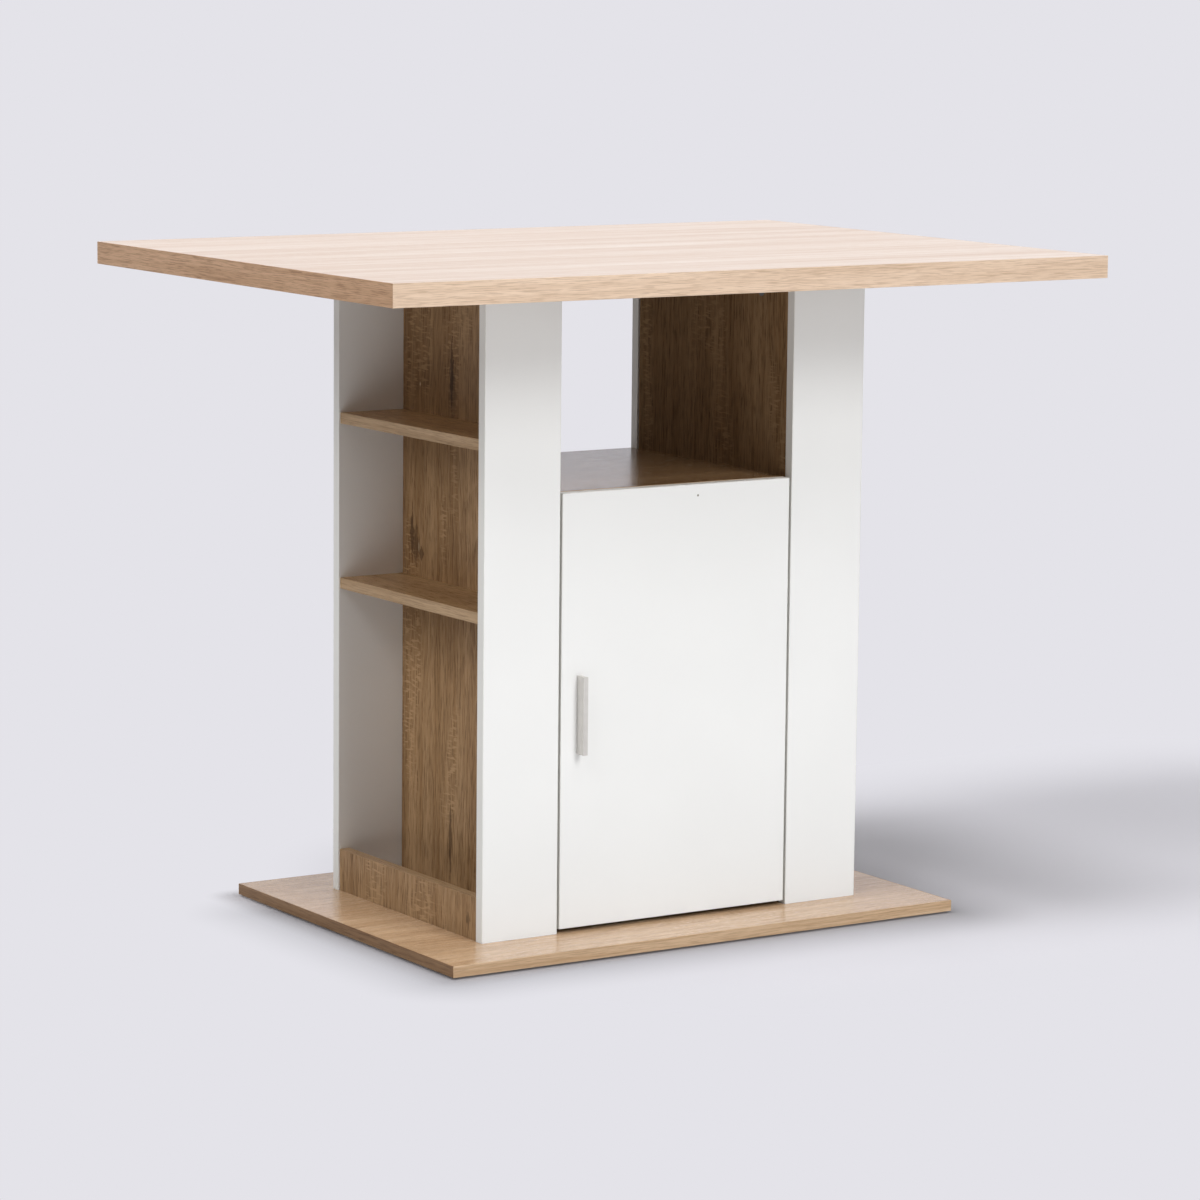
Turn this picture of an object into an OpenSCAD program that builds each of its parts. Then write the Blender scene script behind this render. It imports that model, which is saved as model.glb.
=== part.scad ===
// Kitchen island: a wide table top on a storage body that stands on a thin base plate.
// Two open niches with shelves at the sides, an open compartment under the top and a
// cabinet with one door below it. Millimetres, +Z up, front towards -Y, origin on the
// floor under the middle of the table top.

/* [Overall] */
// Height from the floor to the worktop
total_h = 900; // [860:5:1050]
// Thickness of the boards of the body
board_t = 15; // [15:1:18]
// Thickness of the edge bands
band_t = 1; // [0.6:0.2:2]

/* [Table top] */
// Length of the table top
top_w = 1100; // [900:10:1400]
// Depth of the table top
top_d = 800; // [600:10:1000]
// Thickness of the table top
top_t = 30; // [22:1:40]

/* [Base plate] */
// Length of the base plate
base_w = 790; // [660:10:1000]
// Depth of the base plate
base_d = 580; // [460:10:800]
// Thickness of the base plate
base_t = 15; // [15:1:22]
// Height of the glides under the base plate
glide_h = 3; // [2:0.5:8]
// Diameter of a glide
glide_d = 20; // [14:1:30]
// Distance of the outer glides from the edges of the base plate
glide_inset = 40; // [20:5:80]

/* [Body] */
// Width of the body
body_w = 595; // [560:5:640]
// Depth of the body
body_d = 395; // [380:5:440]
// Width of the four upright strips
stile_w = 115; // [100:1:125]

/* [Niches] */
// Height of the upper shelf's surface over the base plate
upper_shelf_level = 658; // [630:1:690]
// Height of the lower shelf's surface over the base plate
lower_shelf_level = 433; // [330:1:480]
// Set back of shelves and rails from the outer edge of the strips
shelf_set_back = 2; // [0:0.5:6]
// Height of the rails at the foot of the niches
rail_h = 58; // [40:1:90]

/* [Cabinet] */
// Height of the cabinet top's surface over the base plate
cabinet_h = 583; // [560:1:620]
// Height of the inner shelf's surface over the base plate
inner_shelf_level = 290; // [240:1:340]
// Distance of the inner shelf from the back of the door
inner_shelf_set_back = 22; // [16:1:60]
// Thickness of the back panel
back_t = 3; // [2.5:0.5:4]
// Width of the rebate that holds the back panel
rebate_w = 4.5; // [4.5:0.5:8]
// Depth of the rebate that holds the back panel
rebate_depth = 3; // [2:0.5:3]
// Height of the shelf pins' rows of holes, from one hole to the next
pin_pitch = 32; // [24:1:40]

/* [Door] */
// Gap at each side of the door
door_gap = 3.5; // [3:0.5:5]
// Gap under the door
door_foot_gap = 6; // [3:0.5:10]
// Gap between the door and the cabinet top's front edge
door_back_gap = 4.2; // [4.2:0.2:6]
// Diameter of the small drill mark in the door's front
mark_d = 3; // [2:0.5:4]
// Depth of the drill mark
mark_depth = 0.6; // [0.4:0.1:1]
// Distance of the drill mark from the middle of the door
mark_x = 32; // [0:1:60]
// Distance of the drill mark from the top of the door
mark_drop = 15; // [8:1:30]
// Diameter of the door's bumpers
bumper_d = 10; // [6:1:12]

/* [Handle] */
// Length of the handle
handle_l = 104; // [100:1:110]
// Width of the handle
handle_w = 7; // [7:0.5:12]
// How far the handle stands out
handle_out = 17; // [14:1:24]
// Distance between the handle's screws
handle_pitch = 96; // [64:1:96]
// Distance of the handle from the door's free edge
handle_from_edge = 28; // [20:1:50]
// Height of the handle's middle over the base plate
handle_level = 290; // [200:1:480]

/* [Hinges] */
// Distance of each hinge from the door's end
hinge_from_end = 80; // [70:1:110]
// Diameter of the hinge cup
cup_d = 35; // [35:1:37]
// Depth of the hinge cup in the door
cup_depth = 11.4; // [11.2:0.1:11.8]
// Distance of the cup from the door's edge
cup_from_edge = 4; // [3.5:0.5:4.5]
// Distance of the hinge pin from the door's edge
pin_from_edge = 8.5; // [8.4:0.1:8.8]
// Depth of the hinge pin behind the door's back
pin_depth = 8.5; // [8.3:0.1:8.6]
// Diameter of the hinge pin
hinge_pin_d = 2.5; // [2:0.1:2.6]
// Width of the arm's strap
strap_w = 10; // [7:1:10]
// Thickness of the arm's strap
strap_t = 2; // [1.5:0.1:2]
// Distance from the door's back to the mounting plate's screws
plate_line = 37; // [32:1:50]

/* [Fasteners] */
// Diameter of the dowels
dowel_d = 8; // [6:1:8]
// Length of a dowel
dowel_l = 30; // [25:1:35]
// Length of a dowel in the board whose face is joined
dowel_in_face = 12; // [10:0.5:12]
// Diameter of the cam housings
cam_d = 15; // [12:1:18]
// Depth of the cam housings
cam_depth = 12; // [11:0.5:12.5]
// Distance from the joint to the cam housing's middle
cam_reach = 24; // [20:1:30]
// Diameter of the cam bolt's thread
bolt_d = 5; // [4:0.5:6]
// Length of the cam bolt's thread
bolt_thread = 11; // [9:0.5:11.5]
// Diameter of the base screws
base_screw_d = 6; // [5:0.5:7]
// Length of the base screws
base_screw_l = 50; // [40:1:60]
// Diameter of the shelf pins
shelf_pin_d = 5; // [4:0.5:6]

/* [Hidden] */
$fn = 48;

// Clearances
fit = 0.05;          // round a dowel, a screw or a pin
end_gap = 0.5;       // beyond the end of a dowel, a screw or a pin in its hole
cam_fit = 0.1;       // round a cam housing
loose = 0.25;        // beside a shelf or a back panel that slides in
rest_gap = 0.3;      // between a bumper and what it strikes
through = 1;         // how far a cut runs past a face

// Heights
base_top = glide_h + base_t;
top_z = total_h - top_t;
body_h = top_z - base_top;
cabinet_z = base_top + cabinet_h;
upper_shelf_z = base_top + upper_shelf_level;
lower_shelf_z = base_top + lower_shelf_level;
inner_shelf_z = base_top + inner_shelf_level;

// Plan of the body, worked out for the right half; the left half is its mirror image
inner_x = body_w / 2 - stile_w;
panel_out = inner_x + board_t;
panel_mid = inner_x + board_t / 2;
inner_y = body_d / 2 - board_t;
stile_mid_x = body_w / 2 - stile_w / 2;
stile_mid_y = inner_y + board_t / 2;
shelf_out = body_w / 2 - shelf_set_back;
rail_mid_x = shelf_out - board_t / 2;

// Places of the joints
stile_cam_rise = 150;             // lower cams over the base plate
stile_cam_drop = 23;              // upper cams under the cabinet top, out of sight
stile_dowel_drop = 40;            // highest dowels under the table top
stile_cam_low = base_top + stile_cam_rise;
stile_cam_high = cabinet_z - board_t - stile_cam_drop;
stile_dowel_high = top_z - stile_dowel_drop;
stile_cam_levels = [stile_cam_low, stile_cam_high];
stile_dowel_levels = [
    (stile_cam_low + stile_cam_high) / 2,
    (stile_cam_high + stile_dowel_high) / 2,
    stile_dowel_high
];
panel_cam_y = 120;                // cams to the table top, and screws from below
panel_dowel_y = 60;               // dowels to the table top
shelf_cam_y = 110;                // cams under a shelf or the cabinet top
rail_dowel_y = 120;
stile_dowel_inset = 22;           // dowels to top and base, from the strip's edges
stile_dowel_x = stile_w / 2 - stile_dowel_inset;

// Door
door_right = inner_x - door_gap;
door_back = -inner_y;
door_front = door_back - board_t;
door_low = base_top + door_foot_gap;
door_high = cabinet_z;
bumper_t = door_back_gap - rest_gap;
bumper_inset = 20;                // bumper near the free edge of the door
bumper_hinge_inset = 50;          // bumper near the hinged edge of the door
bumper_places = [-door_right + bumper_inset, door_right - bumper_hinge_inset];
handle_x = -door_right + handle_from_edge;
handle_z = base_top + handle_level;
handle_neck_r = 6;                // radius of the hollows along the handle's sides
handle_neck_depth = 1.1;          // depth of those hollows
handle_neck_out = 11;             // their distance from the door
handle_screw_d = 4;
handle_screw_in = 8;              // length of the screw in the handle
handle_head_d = 8;
handle_head_h = 2.4;

// Hinges
hinge_levels = [door_low + hinge_from_end, door_high - hinge_from_end];
cup_x = door_right - cup_from_edge - cup_d / 2;
cup_wall = 1;
cup_floor = 0.4;
cup_flange_t = 1.2;
cup_flange_d = cup_d + 2;
cup_wing_offset = 9.5;            // from the cup's middle to the line of its screws
cup_wing_x = cup_x - cup_wing_offset;
cup_wing_w = 13;
cup_screw_z = 24;
cup_wing_end = 5;                 // wing beyond its screws
cup_wing_l = 2 * (cup_screw_z + cup_wing_end);
cup_screw_d = 3.5;
cup_screw_in = 9;
cup_head_d = 6.4;
cup_head_h = 1.6;
pin_x = door_right - pin_from_edge;
pin_y = door_back - pin_depth;
cup_inner_r = cup_d / 2 - cup_wall;
pin_outer_x = pin_x + hinge_pin_d / 2;
cup_outer_chord = sqrt(pow(cup_d / 2, 2) - pow(pin_outer_x - cup_x, 2));
pin_cover = 0.5;                  // wall of the cup beyond the pin's ends
pin_half = cup_outer_chord - pin_cover;
lug_half_w = 2.6;                 // lugs in the cup that hold the pin's ends
lug_gap = 1.2;                    // between a lug and the arm's eye
eye_d = 4.4;                      // outer diameter of the arm's eye
neck_r = 8;                       // bend of the strap as it leaves the cup
neck_offset = 12.5;               // from the cup's middle to the strap where it leaves the cup
neck_x = cup_x - neck_offset;
neck_rise = 12.5;                 // from the door's back to the strap's turn to the side panel
neck_back = door_back + neck_rise;
plate_h = 11;                     // height of the mounting plate's block
plate_l = 44;
plate_w = 12.6;
plate_wing_t = 2.5;
plate_wing_w = 16;
plate_wing_l = 50;
plate_screw_z = 16;
plate_screw_d = 6;
plate_screw_in = 10.5;
plate_head_d = 9;
plate_head_h = 1.5;
plate_y = door_back + plate_line;
web_t = 1.5;
web_x = inner_x - plate_h - web_t;
web_past_screws = 34;             // how far plate and arm run back past the plate's screws
web_back = plate_y + web_past_screws;
flange_drop = 5.5;
arm_fixing_back = 22;             // fixing screw behind the plate's screws
arm_adjust_front = 7;             // adjusting screw in front of them
arm_fixing_y = plate_y + arm_fixing_back;
arm_adjust_y = plate_y - arm_adjust_front;
arm_screw_d = 5;
arm_screw_in = 7;
arm_head_d = 8;
arm_head_h = 2;

// Fasteners
glide_nail_d = 2;
glide_nail_l = 9;
bolt_neck_d = 4;
bolt_head_d = 6;
bolt_head_h = 3;
bolt_head_out = 1;                // how far the head stops short of the cam's middle
bolt_way_d = 7;                   // hole for the bolt in the board's edge
cam_slot = 7;
cam_cross = [8, 1.2, 1.5];        // length, width and depth of the screwdriver's cross
base_head_d = 10;
base_head_h = 3;
shelf_pin_in = 9;
shelf_pin_out = 8;
shelf_pin_y = 120;

oak_light = "burlywood";
oak = "tan";
oak_edge = "peru";
white = "whitesmoke";
steel = "silver";

// Helpers

// A board given by its lowest and highest corner
module board(lo, hi) {
    translate(lo)
        cube(hi - lo);
}

// Puts a joint at p: its +Z runs into the board whose edge is joined, and its +X points
// to the face from which that board is worked
module seat(p, into, face) {
    side = cross(into, face);
    multmatrix([
        [face[0], side[0], into[0], p[0]],
        [face[1], side[1], into[1], p[1]],
        [face[2], side[2], into[2], p[2]],
        [0, 0, 0, 1]
    ])
        children();
}

// The children on the right half and mirrored on the left half
module both_halves() {
    children();
    mirror([1, 0, 0])
        children();
}

module on_half(left) {
    mirror([left ? 1 : 0, 0, 0])
        children();
}

// Joints of the right half, each used for the fastener and for its holes

module at_stile_cams(end) {
    for (z = stile_cam_levels)
        seat([panel_mid, end * inner_y, z], [0, -end, 0], [-1, 0, 0])
            children();
}

module at_stile_dowels(end) {
    for (z = stile_dowel_levels)
        seat([panel_mid, end * inner_y, z], [0, -end, 0], [-1, 0, 0])
            children();
}

module at_stile_top_dowels(end) {
    for (x = [-stile_dowel_x, stile_dowel_x])
        seat([stile_mid_x + x, end * stile_mid_y, top_z], [0, 0, -1], [1, 0, 0])
            children();
}

module at_stile_base_dowels(end) {
    for (x = [-stile_dowel_x, stile_dowel_x])
        seat([stile_mid_x + x, end * stile_mid_y, base_top], [0, 0, 1], [1, 0, 0])
            children();
}

module at_stile_base_screw(end) {
    seat([stile_mid_x, end * stile_mid_y, glide_h], [0, 0, 1], [1, 0, 0])
        children();
}

module at_panel_base_screws() {
    for (y = [-panel_cam_y, panel_cam_y])
        seat([panel_mid, y, glide_h], [0, 0, 1], [1, 0, 0])
            children();
}

module at_panel_top_cams() {
    for (y = [-panel_cam_y, panel_cam_y])
        seat([panel_mid, y, top_z], [0, 0, -1], [-1, 0, 0])
            children();
}

module at_panel_top_dowels() {
    for (y = [-panel_dowel_y, panel_dowel_y])
        seat([panel_mid, y, top_z], [0, 0, -1], [-1, 0, 0])
            children();
}

module at_shelf_cams(surface) {
    for (y = [-shelf_cam_y, shelf_cam_y])
        seat([panel_out, y, surface - board_t / 2], [1, 0, 0], [0, 0, -1])
            children();
}

module at_shelf_dowel(surface) {
    seat([panel_out, 0, surface - board_t / 2], [1, 0, 0], [0, 0, -1])
        children();
}

module at_rail_dowels() {
    for (y = [-rail_dowel_y, rail_dowel_y])
        seat([rail_mid_x, y, base_top], [0, 0, 1], [1, 0, 0])
            children();
}

module at_cabinet_top_cams() {
    for (y = [-shelf_cam_y, shelf_cam_y])
        seat([inner_x, y, cabinet_z - board_t / 2], [-1, 0, 0], [0, 0, -1])
            children();
}

module at_cabinet_top_dowel() {
    seat([inner_x, 0, cabinet_z - board_t / 2], [-1, 0, 0], [0, 0, -1])
        children();
}

// Every place of a shelf pin's hole; step 0 is where the shelf lies
module at_pins(steps) {
    for (step = steps, end = [-1, 1])
        translate([inner_x, end * shelf_pin_y,
                   inner_shelf_z - board_t - shelf_pin_d / 2 - fit + step * pin_pitch])
            rotate([0, 90, 0])
                children();
}

module at_glides() {
    corner_x = base_w / 2 - glide_inset;
    corner_y = base_d / 2 - glide_inset;
    places = [
        [corner_x, corner_y], [corner_x, -corner_y],
        [-corner_x, corner_y], [-corner_x, -corner_y],
        [0, corner_y], [0, -corner_y],
        [panel_mid, 0], [-panel_mid, 0]
    ];
    for (p = places)
        translate([p[0], p[1], 0])
            children();
}

// Fasteners and the holes that hold them

module dowel_shape() {
    translate([0, 0, -dowel_in_face])
        cylinder(d = dowel_d, h = dowel_l);
}

module dowel_hole() {
    translate([0, 0, -dowel_in_face - end_gap])
        cylinder(d = dowel_d + 2 * fit, h = dowel_l + 2 * end_gap);
}

module bolt_shape() {
    head_end = cam_reach - bolt_head_out;
    translate([0, 0, -bolt_thread])
        cylinder(d = bolt_d, h = bolt_thread);
    cylinder(d = bolt_neck_d, h = head_end - fit);
    translate([0, 0, head_end - bolt_head_h])
        cylinder(d = bolt_head_d, h = bolt_head_h);
}

module cam_shape() {
    difference() {
        translate([board_t / 2 - cam_depth, 0, cam_reach])
            rotate([0, 90, 0])
                cylinder(d = cam_d, h = cam_depth);
        translate([-cam_slot / 2, -cam_slot / 2, cam_reach - cam_d])
            cube([cam_slot, cam_slot, cam_d + bolt_head_out]);
        for (turn = [0, 90])
            translate([board_t / 2 - cam_cross[2] / 2 + through / 2, 0, cam_reach])
                rotate([turn, 0, 0])
                    cube([cam_cross[2] + through, cam_cross[1], cam_cross[0]], center = true);
    }
}

// Bolt hole in the joined face, bolt way in the edge and pocket for the housing
module cam_hole() {
    translate([0, 0, -bolt_thread - end_gap])
        cylinder(d = bolt_d + 2 * fit, h = bolt_thread + end_gap);
    cylinder(d = bolt_way_d, h = cam_reach);
    translate([board_t / 2 - cam_depth - cam_fit, 0, cam_reach])
        rotate([0, 90, 0])
            cylinder(d = cam_d + 2 * cam_fit, h = cam_depth + cam_fit + through);
}

module base_screw_shape() {
    cylinder(d1 = base_head_d, d2 = base_screw_d, h = base_head_h);
    cylinder(d = base_screw_d, h = base_screw_l);
}

module base_screw_hole() {
    cylinder(d1 = base_head_d + 2 * fit, d2 = base_screw_d + 2 * fit, h = base_head_h);
    cylinder(d = base_screw_d + 2 * fit, h = base_screw_l + end_gap);
}

module shelf_pin_shape() {
    translate([0, 0, -shelf_pin_out])
        cylinder(d = shelf_pin_d, h = shelf_pin_out + shelf_pin_in);
}

module shelf_pin_hole() {
    translate([0, 0, -through])
        cylinder(d = shelf_pin_d + 2 * fit, h = shelf_pin_in + end_gap + through);
}

// Table top and base plate

module plate_core(w, d, lo, hi) {
    board([-w / 2 + band_t, -d / 2 + band_t, lo], [w / 2 - band_t, d / 2 - band_t, hi]);
}

// The long edge bands run over the ends of the short ones
module long_bands(w, d, lo, hi) {
    for (end = [0, 1])
        mirror([0, end, 0])
            board([-w / 2, d / 2 - band_t, lo], [w / 2, d / 2, hi]);
}

module short_bands(w, d, lo, hi) {
    for (end = [0, 1])
        mirror([end, 0, 0])
            board([w / 2 - band_t, -d / 2 + band_t, lo], [w / 2, d / 2 - band_t, hi]);
}

module table_top() {
    color(oak_light)
        difference() {
            plate_core(top_w, top_d, top_z, total_h);
            both_halves() {
                at_panel_top_cams()
                    cam_hole();
                at_panel_top_dowels()
                    dowel_hole();
                for (end = [-1, 1])
                    at_stile_top_dowels(end)
                        dowel_hole();
            }
        }
}

module top_long_edge_bands() {
    color(oak_edge)
        long_bands(top_w, top_d, top_z, total_h);
}

module top_short_edge_bands() {
    color(oak_edge)
        short_bands(top_w, top_d, top_z, total_h);
}

module base_plate() {
    color(oak_light)
        difference() {
            plate_core(base_w, base_d, glide_h, base_top);
            both_halves() {
                at_panel_base_screws()
                    base_screw_hole();
                at_rail_dowels()
                    dowel_hole();
                for (end = [-1, 1]) {
                    at_stile_base_dowels(end)
                        dowel_hole();
                    at_stile_base_screw(end)
                        base_screw_hole();
                }
            }
            at_glides()
                cylinder(d = glide_nail_d + 2 * fit, h = glide_h + glide_nail_l + end_gap);
        }
}

module base_long_edge_bands() {
    color(oak_edge)
        long_bands(base_w, base_d, glide_h, base_top);
}

module base_short_edge_bands() {
    color(oak_edge)
        short_bands(base_w, base_d, glide_h, base_top);
}

module floor_glides() {
    color("dimgray")
        at_glides() {
            cylinder(d = glide_d, h = glide_h);
            cylinder(d = glide_nail_d, h = glide_h + glide_nail_l);
        }
}

// Upright strips and side panels

module stile(left, end) {
    color(white)
        on_half(left)
            difference() {
                board([inner_x, end < 0 ? -body_d / 2 : inner_y, base_top],
                      [body_w / 2, end < 0 ? -inner_y : body_d / 2, top_z]);
                at_stile_cams(end)
                    cam_hole();
                at_stile_dowels(end)
                    dowel_hole();
                at_stile_top_dowels(end)
                    dowel_hole();
                at_stile_base_dowels(end)
                    dowel_hole();
                at_stile_base_screw(end)
                    base_screw_hole();
            }
}

module side_panel(left) {
    color(oak)
        on_half(left)
            difference() {
                board([inner_x, -inner_y, base_top], [panel_out, inner_y, top_z]);
                for (end = [-1, 1]) {
                    at_stile_cams(end)
                        cam_hole();
                    at_stile_dowels(end)
                        dowel_hole();
                }
                at_panel_top_cams()
                    cam_hole();
                at_panel_top_dowels()
                    dowel_hole();
                at_panel_base_screws()
                    base_screw_hole();
                for (surface = [upper_shelf_z, lower_shelf_z]) {
                    at_shelf_cams(surface)
                        cam_hole();
                    at_shelf_dowel(surface)
                        dowel_hole();
                }
                at_cabinet_top_cams()
                    cam_hole();
                at_cabinet_top_dowel()
                    dowel_hole();
                at_pins([-1, 0, 1])
                    shelf_pin_hole();
                // Rebate for the back panel, closed behind by the upright strip
                board([inner_x - through, inner_y - rebate_w, base_top - through],
                      [inner_x + rebate_depth, inner_y + through, top_z + through]);
                if (!left)
                    at_hinges()
                        plate_screw_holes();
            }
}

// Niche shelves and rails

module niche_shelf(left, surface) {
    color(oak)
        on_half(left)
            difference() {
                board([panel_out, -inner_y, surface - board_t],
                      [shelf_out - band_t, inner_y, surface]);
                at_shelf_cams(surface)
                    cam_hole();
                at_shelf_dowel(surface)
                    dowel_hole();
            }
}

module rail(left) {
    color(oak)
        on_half(left)
            difference() {
                board([shelf_out - board_t, -inner_y, base_top],
                      [shelf_out, inner_y, base_top + rail_h]);
                at_rail_dowels()
                    dowel_hole();
            }
}

// Cabinet

cabinet_top_front = -inner_y + door_back_gap;
cabinet_top_back = body_d / 2;
inner_shelf_front = door_back + inner_shelf_set_back;
inner_shelf_back = inner_y - rebate_w;

module cabinet_top() {
    color(oak)
        difference() {
            board([-inner_x, cabinet_top_front + band_t, cabinet_z - board_t],
                  [inner_x, cabinet_top_back - band_t, cabinet_z]);
            both_halves() {
                at_cabinet_top_cams()
                    cam_hole();
                at_cabinet_top_dowel()
                    dowel_hole();
            }
            // Groove for the back panel in the underside
            board([-inner_x - through, inner_y - rebate_w, cabinet_z - board_t - through],
                  [inner_x + through, inner_y, cabinet_z - board_t + rebate_depth]);
        }
}

module cabinet_back() {
    color(white)
        board([-inner_x - rebate_depth + loose, inner_y - back_t - loose, base_top],
              [inner_x + rebate_depth - loose, inner_y - loose,
               cabinet_z - board_t + rebate_depth - loose]);
}

module cabinet_shelf() {
    color(oak)
        board([-inner_x + loose, inner_shelf_front + band_t, inner_shelf_z - board_t],
              [inner_x - loose, inner_shelf_back, inner_shelf_z]);
}

module shelf_edge_bands() {
    color(oak_edge) {
        both_halves()
            for (surface = [upper_shelf_z, lower_shelf_z])
                board([shelf_out - band_t, -inner_y, surface - board_t],
                      [shelf_out, inner_y, surface]);
        board([-inner_x + loose, inner_shelf_front, inner_shelf_z - board_t],
              [inner_x - loose, inner_shelf_front + band_t, inner_shelf_z]);
        board([-inner_x, cabinet_top_front, cabinet_z - board_t],
              [inner_x, cabinet_top_front + band_t, cabinet_z]);
        board([-inner_x, cabinet_top_back - band_t, cabinet_z - board_t],
              [inner_x, cabinet_top_back, cabinet_z]);
    }
}

module shelf_pins() {
    color(steel)
        both_halves()
            at_pins([0])
                shelf_pin_shape();
}

// Fasteners of the carcass

module all_dowels() {
    both_halves() {
        for (end = [-1, 1]) {
            at_stile_dowels(end)
                children();
            at_stile_top_dowels(end)
                children();
            at_stile_base_dowels(end)
                children();
        }
        at_panel_top_dowels()
            children();
        for (surface = [upper_shelf_z, lower_shelf_z])
            at_shelf_dowel(surface)
                children();
        at_rail_dowels()
            children();
        at_cabinet_top_dowel()
            children();
    }
}

module all_cams() {
    both_halves() {
        for (end = [-1, 1])
            at_stile_cams(end)
                children();
        at_panel_top_cams()
            children();
        for (surface = [upper_shelf_z, lower_shelf_z])
            at_shelf_cams(surface)
                children();
        at_cabinet_top_cams()
            children();
    }
}

module dowels() {
    color("wheat")
        all_dowels()
            dowel_shape();
}

module cam_bolts() {
    color(steel)
        all_cams()
            bolt_shape();
}

module cam_housings() {
    color("darkgray")
        all_cams()
            cam_shape();
}

module base_screws() {
    color(steel)
        both_halves() {
            at_panel_base_screws()
                base_screw_shape();
            for (end = [-1, 1])
                at_stile_base_screw(end)
                    base_screw_shape();
        }
}

// Hinges: a mounting plate on the right side panel, an arm whose neck reaches round into
// the cup in the door, and a pin across the cup through the arm's eye

module at_hinges() {
    for (z = hinge_levels)
        translate([0, 0, z])
            children();
}

module at_plate_screws() {
    for (z = [-plate_screw_z, plate_screw_z])
        translate([inner_x - plate_wing_t, plate_y, z])
            rotate([0, 90, 0])
                children();
}

module plate_screw_holes() {
    at_plate_screws()
        cylinder(d = plate_screw_d + 2 * fit, h = plate_wing_t + plate_screw_in + end_gap);
}

module at_arm_screws() {
    for (y = [arm_fixing_y, arm_adjust_y])
        translate([web_x, y, 0])
            rotate([0, 90, 0])
                children();
}

module hinge_plate(level) {
    color(steel)
        translate([0, 0, level])
            difference() {
                union() {
                    board([inner_x - plate_h, web_back - plate_l, -plate_w / 2],
                          [inner_x, web_back - strap_t, plate_w / 2]);
                    board([inner_x - plate_wing_t, plate_y - plate_wing_w / 2, -plate_wing_l / 2],
                          [inner_x, plate_y + plate_wing_w / 2, plate_wing_l / 2]);
                }
                plate_screw_holes();
                at_arm_screws()
                    cylinder(d = arm_screw_d + 2 * fit, h = web_t + arm_screw_in + end_gap);
            }
}

// Plan of the strap: out of the eye, round the neck and back to the side panel
module strap_plan() {
    half = strap_t / 2;
    bend_y = pin_y + neck_r;
    translate([neck_x + neck_r, pin_y - half])
        square([pin_x - neck_x - neck_r, strap_t]);
    translate([neck_x + neck_r, bend_y])
        intersection() {
            difference() {
                circle(r = neck_r + half);
                circle(r = neck_r - half);
            }
            translate([-2 * neck_r, -2 * neck_r])
                square(2 * neck_r);
        }
    translate([neck_x - half, bend_y])
        square([strap_t, neck_back - bend_y + half]);
    translate([neck_x - half, neck_back - half])
        square([web_x + web_t - neck_x + half, strap_t]);
}

module hinge_arm(level) {
    color(steel)
        translate([0, 0, level])
            difference() {
                union() {
                    linear_extrude(height = strap_w, center = true)
                        strap_plan();
                    translate([pin_x, pin_y, -strap_w / 2])
                        cylinder(d = eye_d, h = strap_w);
                    board([web_x, neck_back - strap_t / 2, -plate_w / 2 - loose - web_t],
                          [web_x + web_t, web_back, plate_w / 2 + loose + web_t]);
                    for (end = [0, 1])
                        mirror([0, 0, end])
                            board([web_x, neck_back - strap_t / 2, plate_w / 2 + loose],
                                  [web_x + web_t + flange_drop, web_back,
                                   plate_w / 2 + loose + web_t]);
                }
                translate([pin_x, pin_y, -strap_w / 2 - through])
                    cylinder(d = hinge_pin_d + 2 * fit, h = strap_w + 2 * through);
                at_arm_screws()
                    cylinder(d = arm_screw_d + 2 * fit, h = web_t + through);
            }
}

module hinge_plate_screws() {
    color(steel)
        at_hinges()
            at_plate_screws() {
                translate([0, 0, -plate_head_h])
                    cylinder(d = plate_head_d, h = plate_head_h);
                cylinder(d = plate_screw_d, h = plate_wing_t + plate_screw_in);
            }
}

module hinge_arm_screws() {
    color(steel)
        at_hinges()
            at_arm_screws() {
                translate([0, 0, -arm_head_h])
                    cylinder(d = arm_head_d, h = arm_head_h);
                cylinder(d = arm_screw_d, h = web_t + arm_screw_in);
            }
}

// Turns the children so that their +Z runs from the door's back into the door
module into_door(x, z) {
    translate([x, door_back, z])
        rotate([90, 0, 0])
            children();
}

module at_cup_screws() {
    for (z = [-cup_screw_z, cup_screw_z])
        into_door(cup_wing_x, z)
            children();
}

// The hollow of a cup, with a lug left standing on each side of the arm's eye
module cup_hollow() {
    difference() {
        into_door(cup_x, 0)
            translate([0, 0, -cup_flange_t - through])
                cylinder(r = cup_inner_r, h = cup_flange_t + through + cup_depth - cup_floor);
        for (end = [0, 1])
            mirror([0, 0, end])
                board([pin_x - lug_half_w, door_back - cup_depth, strap_w / 2 + lug_gap],
                      [pin_x + lug_half_w, pin_y + lug_half_w, cup_d / 2]);
    }
}

module hinge_cup(level) {
    color(steel)
        translate([0, 0, level])
            difference() {
                union() {
                    into_door(cup_x, 0)
                        cylinder(d = cup_d, h = cup_depth);
                    into_door(cup_x, 0)
                        translate([0, 0, -cup_flange_t])
                            cylinder(d = cup_flange_d, h = cup_flange_t);
                    board([cup_wing_x - cup_wing_w / 2, door_back, -cup_wing_l / 2],
                          [cup_wing_x + cup_wing_w / 2, door_back + cup_flange_t, cup_wing_l / 2]);
                }
                cup_hollow();
                translate([pin_x, pin_y, -pin_half - fit])
                    cylinder(d = hinge_pin_d + fit, h = 2 * (pin_half + fit));
                at_cup_screws()
                    translate([0, 0, -cup_flange_t - through])
                        cylinder(d = cup_screw_d + 2 * fit, h = cup_flange_t + 2 * through);
            }
}

module hinge_cup_screws() {
    color(steel)
        at_hinges()
            at_cup_screws() {
                translate([0, 0, -cup_flange_t - cup_head_h])
                    cylinder(d = cup_head_d, h = cup_head_h);
                translate([0, 0, -cup_flange_t])
                    cylinder(d = cup_screw_d, h = cup_flange_t + cup_screw_in);
            }
}

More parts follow.
